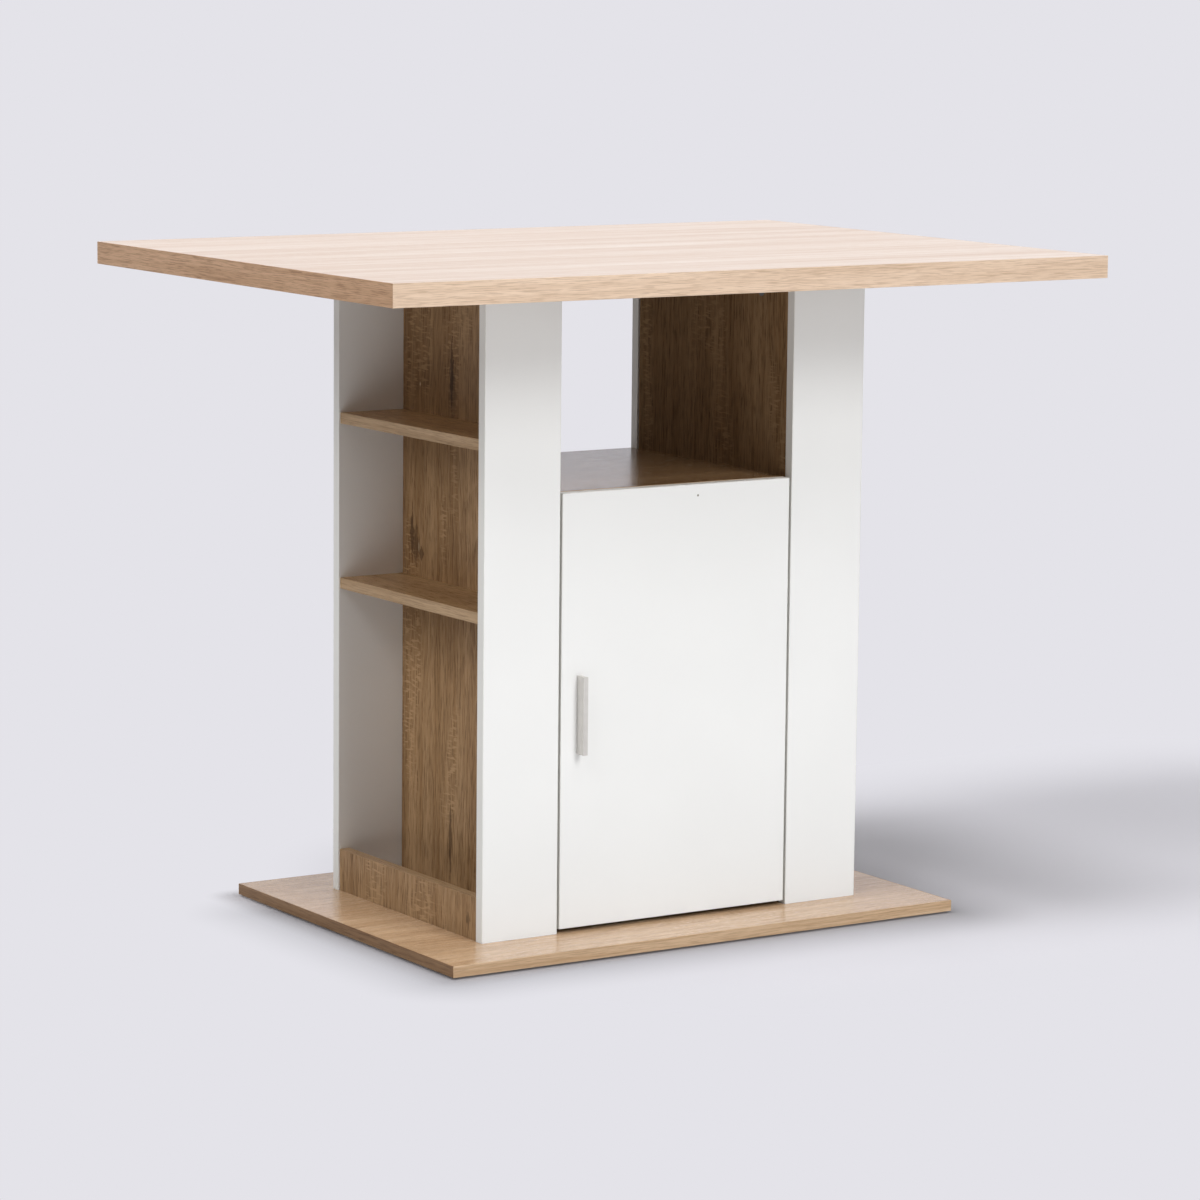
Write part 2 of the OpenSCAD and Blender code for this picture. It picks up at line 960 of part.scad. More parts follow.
module hinge_pins() {
    color("gray")
        at_hinges()
            translate([pin_x, pin_y, -pin_half])
                cylinder(d = hinge_pin_d, h = 2 * pin_half);
}

// Door with its handle

module at_handle_screws() {
    for (z = [-handle_pitch / 2, handle_pitch / 2])
        into_door(handle_x, handle_z + z)
            children();
}

module door() {
    color(white)
        difference() {
            board([-door_right, door_front, door_low], [door_right, door_back, door_high]);
            at_hinges() {
                into_door(cup_x, 0)
                    translate([0, 0, -through])
                        cylinder(d = cup_d + 2 * cam_fit, h = cup_depth + cam_fit + through);
                at_cup_screws()
                    translate([0, 0, -through])
                        cylinder(d = cup_screw_d + 2 * fit, h = cup_screw_in + end_gap + through);
            }
            at_handle_screws()
                translate([0, 0, -through])
                    cylinder(d = handle_screw_d + 2 * fit, h = board_t + 2 * through);
            into_door(mark_x, door_high - mark_drop)
                translate([0, 0, board_t - mark_depth])
                    cylinder(d = mark_d, h = mark_depth + through);
        }
}

module handle_plan() {
    difference() {
        translate([-handle_w / 2, -handle_out])
            square([handle_w, handle_out]);
        for (side = [-1, 1])
            translate([side * (handle_w / 2 - handle_neck_depth + handle_neck_r), -handle_neck_out])
                circle(r = handle_neck_r);
    }
}

module handle() {
    color("lightgray")
        difference() {
            translate([handle_x, door_front, handle_z])
                linear_extrude(height = handle_l, center = true)
                    handle_plan();
            at_handle_screws()
                cylinder(d = handle_screw_d + 2 * fit, h = board_t + handle_screw_in + end_gap);
        }
}

module handle_screws() {
    color(steel)
        at_handle_screws() {
            translate([0, 0, -handle_head_h])
                cylinder(d = handle_head_d, h = handle_head_h);
            cylinder(d = handle_screw_d, h = board_t + handle_screw_in);
        }
}

module door_bumpers() {
    color("gainsboro")
        for (x = bumper_places)
            into_door(x, door_high - board_t / 2)
                translate([0, 0, -bumper_t])
                    cylinder(d = bumper_d, h = bumper_t);
}

table_top();
top_long_edge_bands();
top_short_edge_bands();
base_plate();
base_long_edge_bands();
base_short_edge_bands();
floor_glides();
stile(true, -1);  // front_left_stile
stile(false, -1);  // front_right_stile
stile(true, 1);  // back_left_stile
stile(false, 1);  // back_right_stile
side_panel(true);  // left_side_panel
side_panel(false);  // right_side_panel
niche_shelf(true, upper_shelf_z);  // left_upper_shelf
niche_shelf(true, lower_shelf_z);  // left_lower_shelf
niche_shelf(false, upper_shelf_z);  // right_upper_shelf
niche_shelf(false, lower_shelf_z);  // right_lower_shelf
shelf_edge_bands();
rail(true);  // left_rail
rail(false);  // right_rail
cabinet_top();
cabinet_back();
cabinet_shelf();
shelf_pins();
dowels();
cam_bolts();
cam_housings();
base_screws();
hinge_plate(hinge_levels[1]);  // upper_hinge_plate
hinge_plate(hinge_levels[0]);  // lower_hinge_plate
hinge_plate_screws();
hinge_arm(hinge_levels[1]);  // upper_hinge_arm
hinge_arm(hinge_levels[0]);  // lower_hinge_arm
hinge_arm_screws();
door();
hinge_cup(hinge_levels[1]);  // upper_hinge_cup
hinge_cup(hinge_levels[0]);  // lower_hinge_cup
hinge_cup_screws();
hinge_pins();
handle();
handle_screws();
door_bumpers();
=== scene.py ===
"""Looks of a kitchen island: a pale oak worktop on a white and oak storage body.

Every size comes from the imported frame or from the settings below. Lengths are in metres, in the
frame's own axes: +Z up and the front towards -Y. Colours are written as 8-bit sRGB values.
"""

import math

import bpy
import numpy as np
from bpy.props import FloatProperty, FloatVectorProperty, PointerProperty
from bpy.types import Operator, Panel, PropertyGroup
from mathutils import Matrix, Vector


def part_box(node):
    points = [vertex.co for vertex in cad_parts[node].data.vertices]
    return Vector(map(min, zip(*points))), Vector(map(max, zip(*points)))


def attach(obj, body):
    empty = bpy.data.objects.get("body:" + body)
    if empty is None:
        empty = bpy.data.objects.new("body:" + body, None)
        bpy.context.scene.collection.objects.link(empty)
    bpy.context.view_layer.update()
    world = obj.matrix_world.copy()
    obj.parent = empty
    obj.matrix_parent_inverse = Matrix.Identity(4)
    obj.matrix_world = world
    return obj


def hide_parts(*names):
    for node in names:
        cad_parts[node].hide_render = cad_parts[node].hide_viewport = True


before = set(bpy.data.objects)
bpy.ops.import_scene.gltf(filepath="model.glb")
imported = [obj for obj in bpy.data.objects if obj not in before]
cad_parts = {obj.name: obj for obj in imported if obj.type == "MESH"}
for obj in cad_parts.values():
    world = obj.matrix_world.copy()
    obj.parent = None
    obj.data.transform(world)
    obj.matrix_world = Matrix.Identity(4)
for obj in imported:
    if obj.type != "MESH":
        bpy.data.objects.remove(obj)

bl_info = {
    "name": "Kitchen Island",
    "version": (1, 0, 0),
    "blender": (4, 5, 0),
    "location": "View3D > Sidebar > Island",
    "description": "Dresses the boards and fittings of a kitchen island",
    "category": "Add Mesh",
}

MILLIMETRE = 0.001
CARCASS = "carcass"
DOOR_LEAF = "door_leaf"


def tint(red, green, blue):
    """A colour written in 8-bit sRGB, as the linear colour that shaders take.

    Each channel is c / 12.92 below 0.04045 and ((c + 0.055) / 1.055) ** 2.4 above it.
    """
    channels = np.array([red, green, blue]) / 255
    low = channels / 12.92
    high = ((channels + 0.055) / 1.055) ** 2.4
    return tuple(float(c) for c in np.where(channels <= 0.04045, low, high))


# Settings


def colour(name, description, default):
    return FloatVectorProperty(
        name=name, description=description, subtype="COLOR", size=3, min=0, max=1, default=default
    )


def length(name, description, default):
    return FloatProperty(
        name=name, description=description, default=default, min=0, max=1, unit="LENGTH",
        precision=5,
    )


def share(name, description, default):
    return FloatProperty(name=name, description=description, default=default, min=0, max=4)


class IslandFinish(PropertyGroup):
    """Colours of the boards and fittings"""

    top_light: colour("Worktop light", "Palest streaks of the worktop's foil", tint(239, 225, 214))
    top_middle: colour("Worktop middle", "Darker streaks of the worktop", tint(219, 196, 178))
    top_dark: colour("Worktop dark", "Pores and lines of the worktop", tint(203, 169, 141))
    oak_light: colour("Oak light", "Palest streaks of the oak boards", tint(181, 147, 109))
    oak_middle: colour("Oak middle", "Darker streaks of the oak boards", tint(148, 114, 78))
    oak_dark: colour("Oak dark", "Pores and lines of the oak boards", tint(88, 62, 38))
    base_light: colour("Base light", "Palest streaks of the base plate", tint(219, 187, 153))
    base_middle: colour("Base middle", "Darker streaks of the base plate", tint(186, 150, 114))
    base_dark: colour("Base dark", "Pores and lines of the base plate", tint(128, 98, 68))
    band_light: colour("Edging light", "Pale lines of the oak edging", tint(240, 214, 190))
    band_middle: colour("Edging middle", "Darker lines of the oak edging", tint(222, 194, 168))
    band_dark: colour("Edging dark", "Pores of the oak edging", tint(158, 124, 94))
    knot: colour("Knot", "Printed knots and cracks", tint(62, 43, 30))
    fleck: colour("Fleck", "Printed pale flecks", tint(228, 205, 172))
    white: colour("White", "Coated faces of the white boards", tint(240, 240, 239))
    white_band: colour("White edging", "Edging of the white boards", tint(236, 235, 231))
    bare: colour("Bare board", "Chipboard in the holes of the door", tint(150, 142, 132))
    beech: colour("Beech", "Dowels", tint(214, 176, 134))
    zinc: colour("Zinc", "Plated screws and cams", tint(176, 178, 180))
    nickel: colour("Nickel", "Plated hinges", tint(196, 192, 184))
    aluminium: colour("Aluminium", "Handle", tint(216, 213, 208))
    glide: colour("Glide", "Plastic of the floor glides", tint(70, 68, 66))
    bumper: colour("Bumper", "Soft plastic of the door's bumpers", tint(222, 224, 224))


class IslandEdges(PropertyGroup):
    """Rounding of the edges, and the edging of the white boards"""

    board_round: length("Board edges", "Radius of a coated board's edges", 0.3 * MILLIMETRE)
    band_round: length("Edging edges", "Radius of the oak edging's outer edges", 0.45 * MILLIMETRE)
    white_band_t: length("White edging", "Thickness of the white edging", 0.8 * MILLIMETRE)
    white_round: length("White edging edges", "Radius of its edges", 0.36 * MILLIMETRE)


class IslandFittings(PropertyGroup):
    """Details of the metal and plastic fittings"""

    handle_round: length("Handle edges", "Radius of the handle's long edges", 0.6 * MILLIMETRE)
    handle_neck_depth: length("Handle hollow", "Depth of its side hollows", 1.1 * MILLIMETRE)
    handle_neck_round: length("Hollow radius", "Radius of those hollows", 6 * MILLIMETRE)
    handle_neck_out: length("Hollow place", "Their distance from the door", 11 * MILLIMETRE)
    mark_d: length("Drill mark", "Diameter of the small mark in the door", 3 * MILLIMETRE)
    mark_depth: length("Mark depth", "Depth of that mark", 0.6 * MILLIMETRE)
    mark_x: length("Mark place", "Its distance from the door's middle", 32 * MILLIMETRE)
    mark_drop: length("Mark drop", "Its distance from the door's top", 15 * MILLIMETRE)


class IslandStage(PropertyGroup):
    """Camera, lamps and floor"""

    camera_place: FloatVectorProperty(
        name="Camera", description="Place of the camera", subtype="TRANSLATION", unit="LENGTH",
        size=3, default=(-3.2463, -5.0759, 1.3259), precision=4,
    )
    heading: FloatProperty(
        name="Heading", description="Turn of the camera from +Y towards +X", subtype="ANGLE",
        default=0.5699, precision=4,
    )
    dip: FloatProperty(
        name="Dip", description="Tilt of the camera below the horizon", subtype="ANGLE",
        default=0.1488, precision=4,
    )
    roll: FloatProperty(
        name="Roll", description="Turn of the camera about its own view", subtype="ANGLE",
        default=0.0098, precision=4,
    )
    lens: FloatProperty(
        name="Lens", description="Focal length on a 36 mm sensor", default=134.54, min=10, max=500
    )
    backdrop: colour("Backdrop", "Colour behind the object", tint(228, 227, 233))
    floor: colour("Floor", "Colour of the floor near the object", tint(208, 207, 213))
    # The floor's glow is light that the floor gives off itself, not light thrown back: it lights
    # the object, most of all before it and on its left
    far: share("Far floor", "Light thrown back by the whole floor", 0.06)
    glow_round: share("Floor glow", "More of it near the object", 0.30)
    glow_front: share("Front glow", "More of it before the object", 0.84)
    glow_left: share("Left glow", "More of it on the left", 0.65)
    front_level: share("Front level", "Soft light at the height of the object", 0.12)
    front: share("Front", "Soft light above that", 0.41)
    front_high: share("Front high", "Soft light high above the front", 0.22)
    left: share("Left", "Soft lights on the left", 0.155)
    overhead: share("Overhead", "Light above the object, on the left", 0.30)
    back: share("Back", "Low soft light on the back", 0.33)
    right: share("Right", "Low soft light on the right", 0.25)


SETTINGS = {
    "island_finish": IslandFinish,
    "island_edges": IslandEdges,
    "island_fittings": IslandFittings,
    "island_stage": IslandStage,
}


def finish_colours():
    return bpy.context.scene.island_finish


# Surfaces

# Steps of the arc of a board's rounded edge, from its middle to its end
EDGE_STEPS = 2
# Points of a surface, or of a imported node, that lie closer together than this are one
WELD_REACH = 0.001 * MILLIMETRE
NODE_REACH = 0.01 * MILLIMETRE


def grid_quads(rows, columns):
    """Corners of the cells of a grid of rows x columns points, counted row by row."""
    start = np.arange(rows - 1)[:, None] * columns + np.arange(columns - 1)[None, :]
    cells = np.stack([start, start + columns, start + columns + 1, start + 1], axis=-1)
    return cells.reshape(-1, 4)


def joined(surfaces):
    """Several surfaces as one: their points, quads and softness one after another."""
    points, quads, soft = [], [], []
    count = 0
    for surface in surfaces:
        points.append(surface[0])
        quads.append(surface[1] + count)
        soft.append(surface[2])
        count += len(surface[0])
    return np.concatenate(points), np.concatenate(quads), np.concatenate(soft)


def soft_board(lo, hi, radius):
    """A board with round edges, from its lowest and highest corner.

    Each point q on the faces of the sharp box moves to c + radius * unit(q - c), where c is q
    clamped to the box that is smaller by the radius. The grid lines lie radius * (1 - tan(a))
    from the edges, with a in even steps from 45 to 0 degrees, so each edge is an even arc.
    """
    lo = np.array(lo, float)
    hi = np.array(hi, float)
    near = radius * (1 - np.tan(np.linspace(math.pi / 4, 0, EDGE_STEPS + 1)))
    lines = [np.concatenate([lo[k] + near, (hi[k] - near)[::-1]]) for k in range(3)]
    count = len(near) * 2
    cell = np.arange(count - 1)
    inner = (cell[:, None] == EDGE_STEPS) & (cell[None, :] == EDGE_STEPS)
    faces = []
    for axis in range(3):
        across, up = (axis + 1) % 3, (axis + 2) % 3
        for side in (lo, hi):
            q = np.empty((count, count, 3))
            q[..., axis] = side[axis]
            q[..., across] = lines[across][:, None]
            q[..., up] = lines[up][None, :]
            core = np.clip(q, lo + radius, hi - radius)
            out = q - core
            rounded = core + radius * out / np.linalg.norm(out, axis=-1, keepdims=True)
            quads = grid_quads(count, count)
            if side is lo:
                quads = quads[:, ::-1]
            faces.append((rounded.reshape(-1, 3), quads, ~inner.ravel()))
    return joined(faces)


def turned(radii, heights, origin, axis, turns=32, soft=True):
    """A profile turned about an axis.

    The point at angle t of a profile point (r, h) is origin + h * axis + r * (a cos t + b sin t),
    with a and b square to the axis. A radius of 0 closes the shape in a pole. The height of a
    profile point may also be given as a row, with one value for each angle.
    """
    axis = np.array(axis, float)
    helper = np.array([0.0, 0.0, 1.0]) if abs(axis[2]) < 0.5 else np.array([1.0, 0.0, 0.0])
    first = np.cross(helper, axis)
    first /= np.linalg.norm(first)
    second = np.cross(axis, first)
    angle = np.linspace(0, 2 * math.pi, turns + 1)
    ring = np.cos(angle)[:, None] * first + np.sin(angle)[:, None] * second
    radii = np.array(radii, float)[:, None, None]
    heights = np.array(heights, float).reshape(len(radii), -1, 1)
    points = np.array(origin, float) + heights * axis + radii * ring
    quads = grid_quads(len(radii), turns + 1)
    return points.reshape(-1, 3), quads, np.full(len(quads), soft)


def welded(points, quads, soft):
    """The surface with equal points made one. Quads that close to a line go, and quads with two
    equal corners become triangles. Returns points, faces, their softness."""
    keys = np.round(points / WELD_REACH).astype(np.int64)
    _, first, label = np.unique(keys, axis=0, return_index=True, return_inverse=True)
    corners = label.reshape(-1)[quads]
    double = corners == np.roll(corners, -1, axis=1)
    whole = ~double.any(axis=1)
    three = double.sum(axis=1) == 1
    triangles = corners[three][~double[three]].reshape(-1, 3)
    faces = corners[whole].tolist() + triangles.tolist()
    return points[first], faces, np.concatenate([soft[whole], soft[three]])


def volume_of(points, faces):
    """Signed volume: a sixth of the sum of p0 . (p1 x p2) over the fans of all faces."""
    total = 0.0
    for size in {len(face) for face in faces}:
        same = np.array([face for face in faces if len(face) == size])
        p0 = points[same[:, 0]]
        for k in range(1, size - 1):
            p1 = points[same[:, k]]
            p2 = points[same[:, k + 1]]
            total += float(np.einsum("ij,ij->", p0, np.cross(p1, p2))) / 6
    return total


def new_mesh(name, points, faces, material):
    """A mesh with its faces turned outwards."""
    if volume_of(points, faces) < 0:
        faces = [face[::-1] for face in faces]
    mesh = bpy.data.meshes.new(name)
    mesh.from_pydata(points.tolist(), [], faces)
    mesh.materials.append(material)
    return mesh


def add_object(name, data):
    """Puts an object with the data into the scene."""
    item = bpy.data.objects.new(name, data)
    bpy.context.scene.collection.objects.link(item)
    return item


def add_piece(name, surface, material, body, replaced):
    """Makes a mesh object of a surface and hangs it on a body."""
    points, faces, soft = welded(*surface)
    mesh = new_mesh(name, points, faces, material)
    mesh.polygons.foreach_set("use_smooth", soft)
    mesh.update()
    piece = add_object(name, mesh)
    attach(piece, body)
    if replaced:
        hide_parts(*replaced)
    return piece


def dress(node, material):
    """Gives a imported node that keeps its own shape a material."""
    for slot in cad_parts[node].material_slots:
        slot.material = material


def node_box(node):
    lo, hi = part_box(node)
    return np.array(lo), np.array(hi)


def solid_boxes(node):
    """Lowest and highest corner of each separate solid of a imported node, sorted by corner.

    The sorting takes corners to a tenth of a millimetre. Points at one place get one number. Each
    triangle then gives its corners the lowest label among them, again and again, until every
    solid has a single label.
    """
    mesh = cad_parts[node].data
    mesh.calc_loop_triangles()
    points = np.empty(len(mesh.vertices) * 3)
    mesh.vertices.foreach_get("co", points)
    points = points.reshape(-1, 3)
    corners = np.empty(len(mesh.loop_triangles) * 3, int)
    mesh.loop_triangles.foreach_get("vertices", corners)
    keys = np.round(points / NODE_REACH).astype(np.int64)
    label = np.unique(keys, axis=0, return_inverse=True)[1].reshape(-1)
    triangles = label[corners].reshape(-1, 3)
    group = np.arange(label.max() + 1)
    while True:
        lowest = group[triangles].min(axis=1)
        before = group.copy()
        for k in range(3):
            np.minimum.at(group, triangles[:, k], lowest)
        if (group == before).all():
            break
    owner = group[label]
    boxes = [
        (points[owner == one].min(axis=0), points[owner == one].max(axis=0))
        for one in np.unique(owner)
    ]
    return sorted(boxes, key=lambda pair: tuple(np.round(pair[0], 4)))


# Shader nodes


def place(tree, kind, values, **options):
    """Adds a node. A socket given as a value is linked, and anything else is set."""
    node = tree.nodes.new(kind)
    for name, value in options.items():
        setattr(node, name, value)
    for key, value in values.items():
        if isinstance(value, bpy.types.NodeSocket):
            tree.links.new(value, node.inputs[key])
        else:
            node.inputs[key].default_value = value
    return node


def calc(tree, operation, *terms, clamped=False):
    values = dict(enumerate(terms))
    node = place(tree, "ShaderNodeMath", values, operation=operation, use_clamp=clamped)
    return node.outputs[0]


def vector(tree, operation, *terms, output="Vector"):
    values = dict(enumerate(terms))
    node = place(tree, "ShaderNodeVectorMath", values, operation=operation)
    return node.outputs[output]


def weighted(tree, start, layers, weights):
    """The start plus each named layer times its weight."""
    for name, weight in weights.items():
        start = calc(tree, "MULTIPLY_ADD", layers[name], weight, start)
    return start


def mixed(tree, amount, first, second):
    """A colour between the first, at 0, and the second, at 1."""
    values = {0: amount, 6: first, 7: second}
    return place(tree, "ShaderNodeMix", values, data_type="RGBA").outputs[2]


def ramp(tree, value, start, end):
    """How far the value has come from start to end, from 0 to 1 with soft ends."""
    values = {"Value": value, "From Min": start, "From Max": end}
    node = place(tree, "ShaderNodeMapRange", values, interpolation_type="SMOOTHSTEP")
    return node.outputs[0]


def noise(tree, point, cells, detail, roughness=0.5):
    """Noise with so many cells to the metre along each axis, from 0 to 1."""
    values = {
        "Vector": vector(tree, "MULTIPLY", point, cells), "Scale": 1.0,
        "Detail": detail, "Roughness": roughness,
    }
    return place(tree, "ShaderNodeTexNoise", values).outputs[0]


# Layers of the wood print: cells to the metre along and across the grain, detail and roughness
# of the noise, and the levels of the noise between which the layer sets in
WOOD_LAYERS = {
    "broad": (0.9, 22, 2.0, 0.5, 0.36, 0.64),
    "narrow": (3.5, 130, 2.0, 0.6, 0.34, 0.66),
    "dashes": (34, 600, 2.0, 0.5, 0.50, 0.62),
    "pores": (60, 1500, 1.0, 0.5, 0.50, 0.70),
    "glints": (18, 420, 2.0, 0.5, 0.54, 0.70),
    "saw lines": (300, 60, 1.0, 0.5, 0.50, 0.66),
    "saw patches": (4.5, 16, 1.0, 0.5, 0.52, 0.66),
}
# Weights of the layers in the print's change to the middle colour and to the dark one, in its
# roughness and in its relief, and the strengths of the pale glints and of the saw's marks
TONE_WEIGHTS = {"narrow": 0.55, "broad": 0.45}
DARK_WEIGHTS = {"dashes": 0.62, "rings": 0.3, "pores": 0.3}
ROUGH_WEIGHTS = {"dashes": 0.06, "pores": 0.08}
RELIEF_WEIGHTS = {"dashes": -0.5, "pores": -0.6}
GLINT_STRENGTH = 0.4
SAW_STRENGTH = 0.6
# The slow noise that bends the streaks: its cells to the metre, and how far it bends them
BEND_CELLS = (2.2, 7, 7)
BEND_REACH = 20 * MILLIMETRE
# Growth rings: cells of their noise, how many rings its whole range makes, and the part of each
# ring over which it darkens
RING_CELLS = (0.8, 6.5, 6.5)
RING_COUNT = 26
RING_EDGE = (0.55, 0.98)
# A flaw's ragged edge: cells of its noise, how far it moves the limit, and where the mask fades
FLAW_CELLS = (90, 420, 420)
FLAW_RAGGED = 1.8
FLAW_FADE = (1.1, 0.75)
# Clouds of tone in coated, moulded and drawn surfaces: the noise levels between which they set in
CLOUD_EDGE = (0.3, 0.7)
# Roughness of coated and moulded surfaces, and what dimples, or the lines of metal, add to it
SKIN_ROUGHNESS = 0.33
DIMPLE_ROUGHNESS = 0.10
LINE_ROUGHNESS = 0.12


def wood_print(tree, given):
    """Printed wood with its grain along X.

    Slow noise bends the streaks. Contour lines of a long, slow noise make the arched growth
    rings, short stretched noise the fine grain and the pores, and noise stretched across the
    grain the marks of the saw, in patches.
    """
    light, contrast = given["Light"], given["Contrast"]
    slow = noise(tree, given["Vector"], BEND_CELLS, 2.0)
    bend = calc(tree, "MULTIPLY", calc(tree, "SUBTRACT", slow, 0.5), BEND_REACH)
    shift = place(tree, "ShaderNodeCombineXYZ", {"Y": bend, "Z": bend}).outputs[0]
    bent = vector(tree, "ADD", given["Vector"], shift)
    layers = {}
    for name, (along, across, detail, roughness, start, end) in WOOD_LAYERS.items():
        grain = noise(tree, bent, (along, across, across), detail, roughness)
        layers[name] = ramp(tree, grain, start, end)
    level = calc(tree, "MULTIPLY", noise(tree, bent, RING_CELLS, 0.0), RING_COUNT)
    ring = ramp(tree, calc(tree, "FRACT", level), *RING_EDGE)
    layers["rings"] = calc(tree, "MULTIPLY", ring, given["Rings"])

    tone = weighted(tree, 0.0, layers, TONE_WEIGHTS)
    dark = weighted(tree, 0.0, layers, DARK_WEIGHTS)
    dark = calc(tree, "MULTIPLY", dark, contrast, clamped=True)
    pale = calc(tree, "MULTIPLY", contrast, GLINT_STRENGTH)
    pale = calc(tree, "MULTIPLY", layers["glints"], pale)
    saw = calc(tree, "MULTIPLY", layers["saw lines"], layers["saw patches"])
    saw = calc(tree, "MULTIPLY", saw, given["Saw marks"])
    saw = calc(tree, "MULTIPLY", saw, SAW_STRENGTH, clamped=True)
    body = mixed(tree, tone, light, given["Middle"])
    body = mixed(tree, dark, body, given["Dark"])
    body = mixed(tree, pale, body, light)
    body = mixed(tree, saw, body, light)
    return {
        "Color": body,
        "Roughness": weighted(tree, given["Roughness"], layers, ROUGH_WEIGHTS),
        "Height": weighted(tree, 0.0, layers, RELIEF_WEIGHTS),
    }


def wood_flaw(tree, given):
    """Mask of a printed crack, knot or fleck: a spindle round a place, with a ragged edge.

    The mask is 1 where |x| / length + |y| / width, measured from the place, stays below a
    limit that noise moves, and it eases to 0 past it.
    """
    offset = vector(tree, "SUBTRACT", given["Vector"], given["Place"])
    parts = place(tree, "ShaderNodeSeparateXYZ", {0: vector(tree, "ABSOLUTE", offset)}).outputs
    along = calc(tree, "DIVIDE", parts[0], given["Length"])
    aside = calc(tree, "DIVIDE", parts[1], given["Width"])
    ragged = calc(tree, "SUBTRACT", noise(tree, given["Vector"], FLAW_CELLS, 2.0), 0.5)
    reach = calc(tree, "MULTIPLY_ADD", ragged, FLAW_RAGGED, calc(tree, "ADD", along, aside))
    return {"Mask": ramp(tree, reach, *FLAW_FADE)}


def fine_skin(tree, given):
    """Fine skin of a coated or moulded surface: a slight change of tone and small dimples."""
    scaled = vector(tree, "MULTIPLY", given["Vector"], given["Fineness"])
    dimples = noise(tree, scaled, (1, 1, 1), 2.0)
    cloud = noise(tree, given["Vector"], (6, 6, 6), 2.0)
    return {
        "Color": mixed(tree, ramp(tree, cloud, *CLOUD_EDGE), given["Base"], given["Shade"]),
        "Roughness": calc(tree, "MULTIPLY_ADD", dimples, DIMPLE_ROUGHNESS, SKIN_ROUGHNESS),
        "Height": dimples,
    }


def drawn_metal(tree, given):
    """Drawn or plated metal: lines along X in the roughness and the height, and faint clouds."""
    lines = noise(tree, given["Vector"], (30, 2600, 2600), 2.0)
    cloud = noise(tree, given["Vector"], (120, 120, 120), 2.0)
    mean = calc(tree, "MULTIPLY", calc(tree, "ADD", lines, cloud), 0.5)
    tone = ramp(tree, mean, *CLOUD_EDGE)
    return {
        "Color": mixed(tree, tone, given["Base"], given["Shade"]),
        "Roughness": calc(tree, "MULTIPLY_ADD", tone, LINE_ROUGHNESS, given["Roughness"]),
        "Height": lines,
    }


VALUE = "NodeSocketFloat"
VECTOR = "NodeSocketVector"
COLOUR = "NodeSocketColor"
SURFACE = {"Color": COLOUR, "Roughness": VALUE, "Height": VALUE}

# Shared node groups: what fills them, their inputs and their outputs
GROUPS = {
    "Wood print": (wood_print, {
        "Vector": VECTOR, "Light": COLOUR, "Middle": COLOUR, "Dark": COLOUR,
        "Contrast": VALUE, "Rings": VALUE, "Saw marks": VALUE, "Roughness": VALUE,
    }, SURFACE),
    "Wood flaw": (wood_flaw, {
        "Vector": VECTOR, "Place": VECTOR, "Length": VALUE, "Width": VALUE,
    }, {"Mask": VALUE}),
    "Fine skin": (fine_skin, {
        "Vector": VECTOR, "Fineness": VALUE, "Base": COLOUR, "Shade": COLOUR,
    }, SURFACE),
    "Drawn metal": (drawn_metal, {
        "Vector": VECTOR, "Base": COLOUR, "Shade": COLOUR, "Roughness": VALUE,
    }, SURFACE),
}


def group_node(tree, name, values):
    """Adds a node of a shared group with its own values. The group is built the first time."""
    group = bpy.data.node_groups.get(name)
    if group is None:
        fill, inputs, outputs = GROUPS[name]
        group = bpy.data.node_groups.new(name, "ShaderNodeTree")
        for label, kind in inputs.items():
            group.interface.new_socket(label, in_out="INPUT", socket_type=kind)
        for label, kind in outputs.items():
            group.interface.new_socket(label, in_out="OUTPUT", socket_type=kind)
        given = group.nodes.new("NodeGroupInput").outputs
        result = group.nodes.new("NodeGroupOutput").inputs
        for label, socket in fill(group, given).items():
            group.links.new(socket, result[label])
    return place(tree, "ShaderNodeGroup", values, node_tree=group)


# Materials

# Turns that lay the grain, which the node groups have along X, along another axis
GRAIN_TURNS = {
    "x": (0.0, 0.0, 0.0),
    "y": (0.0, 0.0, -math.pi / 2),
    "z": (0.0, math.pi / 2, 0.0),
}
# Depth of the relief of an oak print, and of the dimples of coated boards and of plastic
OAK_RELIEF = 0.06 * MILLIMETRE
COAT_RELIEF = 0.03 * MILLIMETRE
PLASTIC_RELIEF = 0.05 * MILLIMETRE
# Power and factor of the tones of oak edging, by its part and the axis along which it runs
EDGING_TONES_AND_END_SHADE = {
    # On the worktop and the base, the bands along Y, at the left and right ends, are darker and
    # deeper: painted shade of those side faces
    "worktop": {"x": (0.97, 1.0), "y": (1.7, 0.92)},
    "base": {"x": (0.9, 1.0), "y": (1.5, 0.5)},
    "body": {"x": (0.65, 1.0), "y": (0.79, 1.0)},
}
EDGING_COLOURS = {"worktop": "band", "base": "base", "body": "oak"}


def rgba(value):
    return (*value, 1.0)


def darker(value, factor):
    return tuple(channel * factor for channel in value)


def tones(kind, power=1.0, factor=1.0):
    """The light, middle and dark colour of an oak print.

    Each channel is raised to the power, which keeps white as it is, and then taken times the
    factor.
    """
    colours = [getattr(finish_colours(), f"{kind}_{tone}") for tone in ("light", "middle", "dark")]
    return [darker([channel ** power for channel in value], factor) for value in colours]


def blank_material(name):
    """A new material with a Principled shader, as its tree and that shader."""
    material = bpy.data.materials.new(name)
    material.use_nodes = True
    tree = material.node_tree
    return material, tree, tree.nodes["Principled BSDF"]


def object_point(tree, turn):
    """Object coordinates in metres, turned so that the named axis becomes X."""
    source = tree.nodes.new("ShaderNodeTexCoord").outputs["Object"]
    values = {"Vector": source, "Rotation": GRAIN_TURNS[turn]}
    return place(tree, "ShaderNodeMapping", values).outputs[0]


def turned_place(point, turn):
    """A point of the frame in the turned coordinates that a material reads."""
    x, y, z = point
    return {"x": (x, y, z), "y": (y, -x, z), "z": (z, y, -x)}[turn]


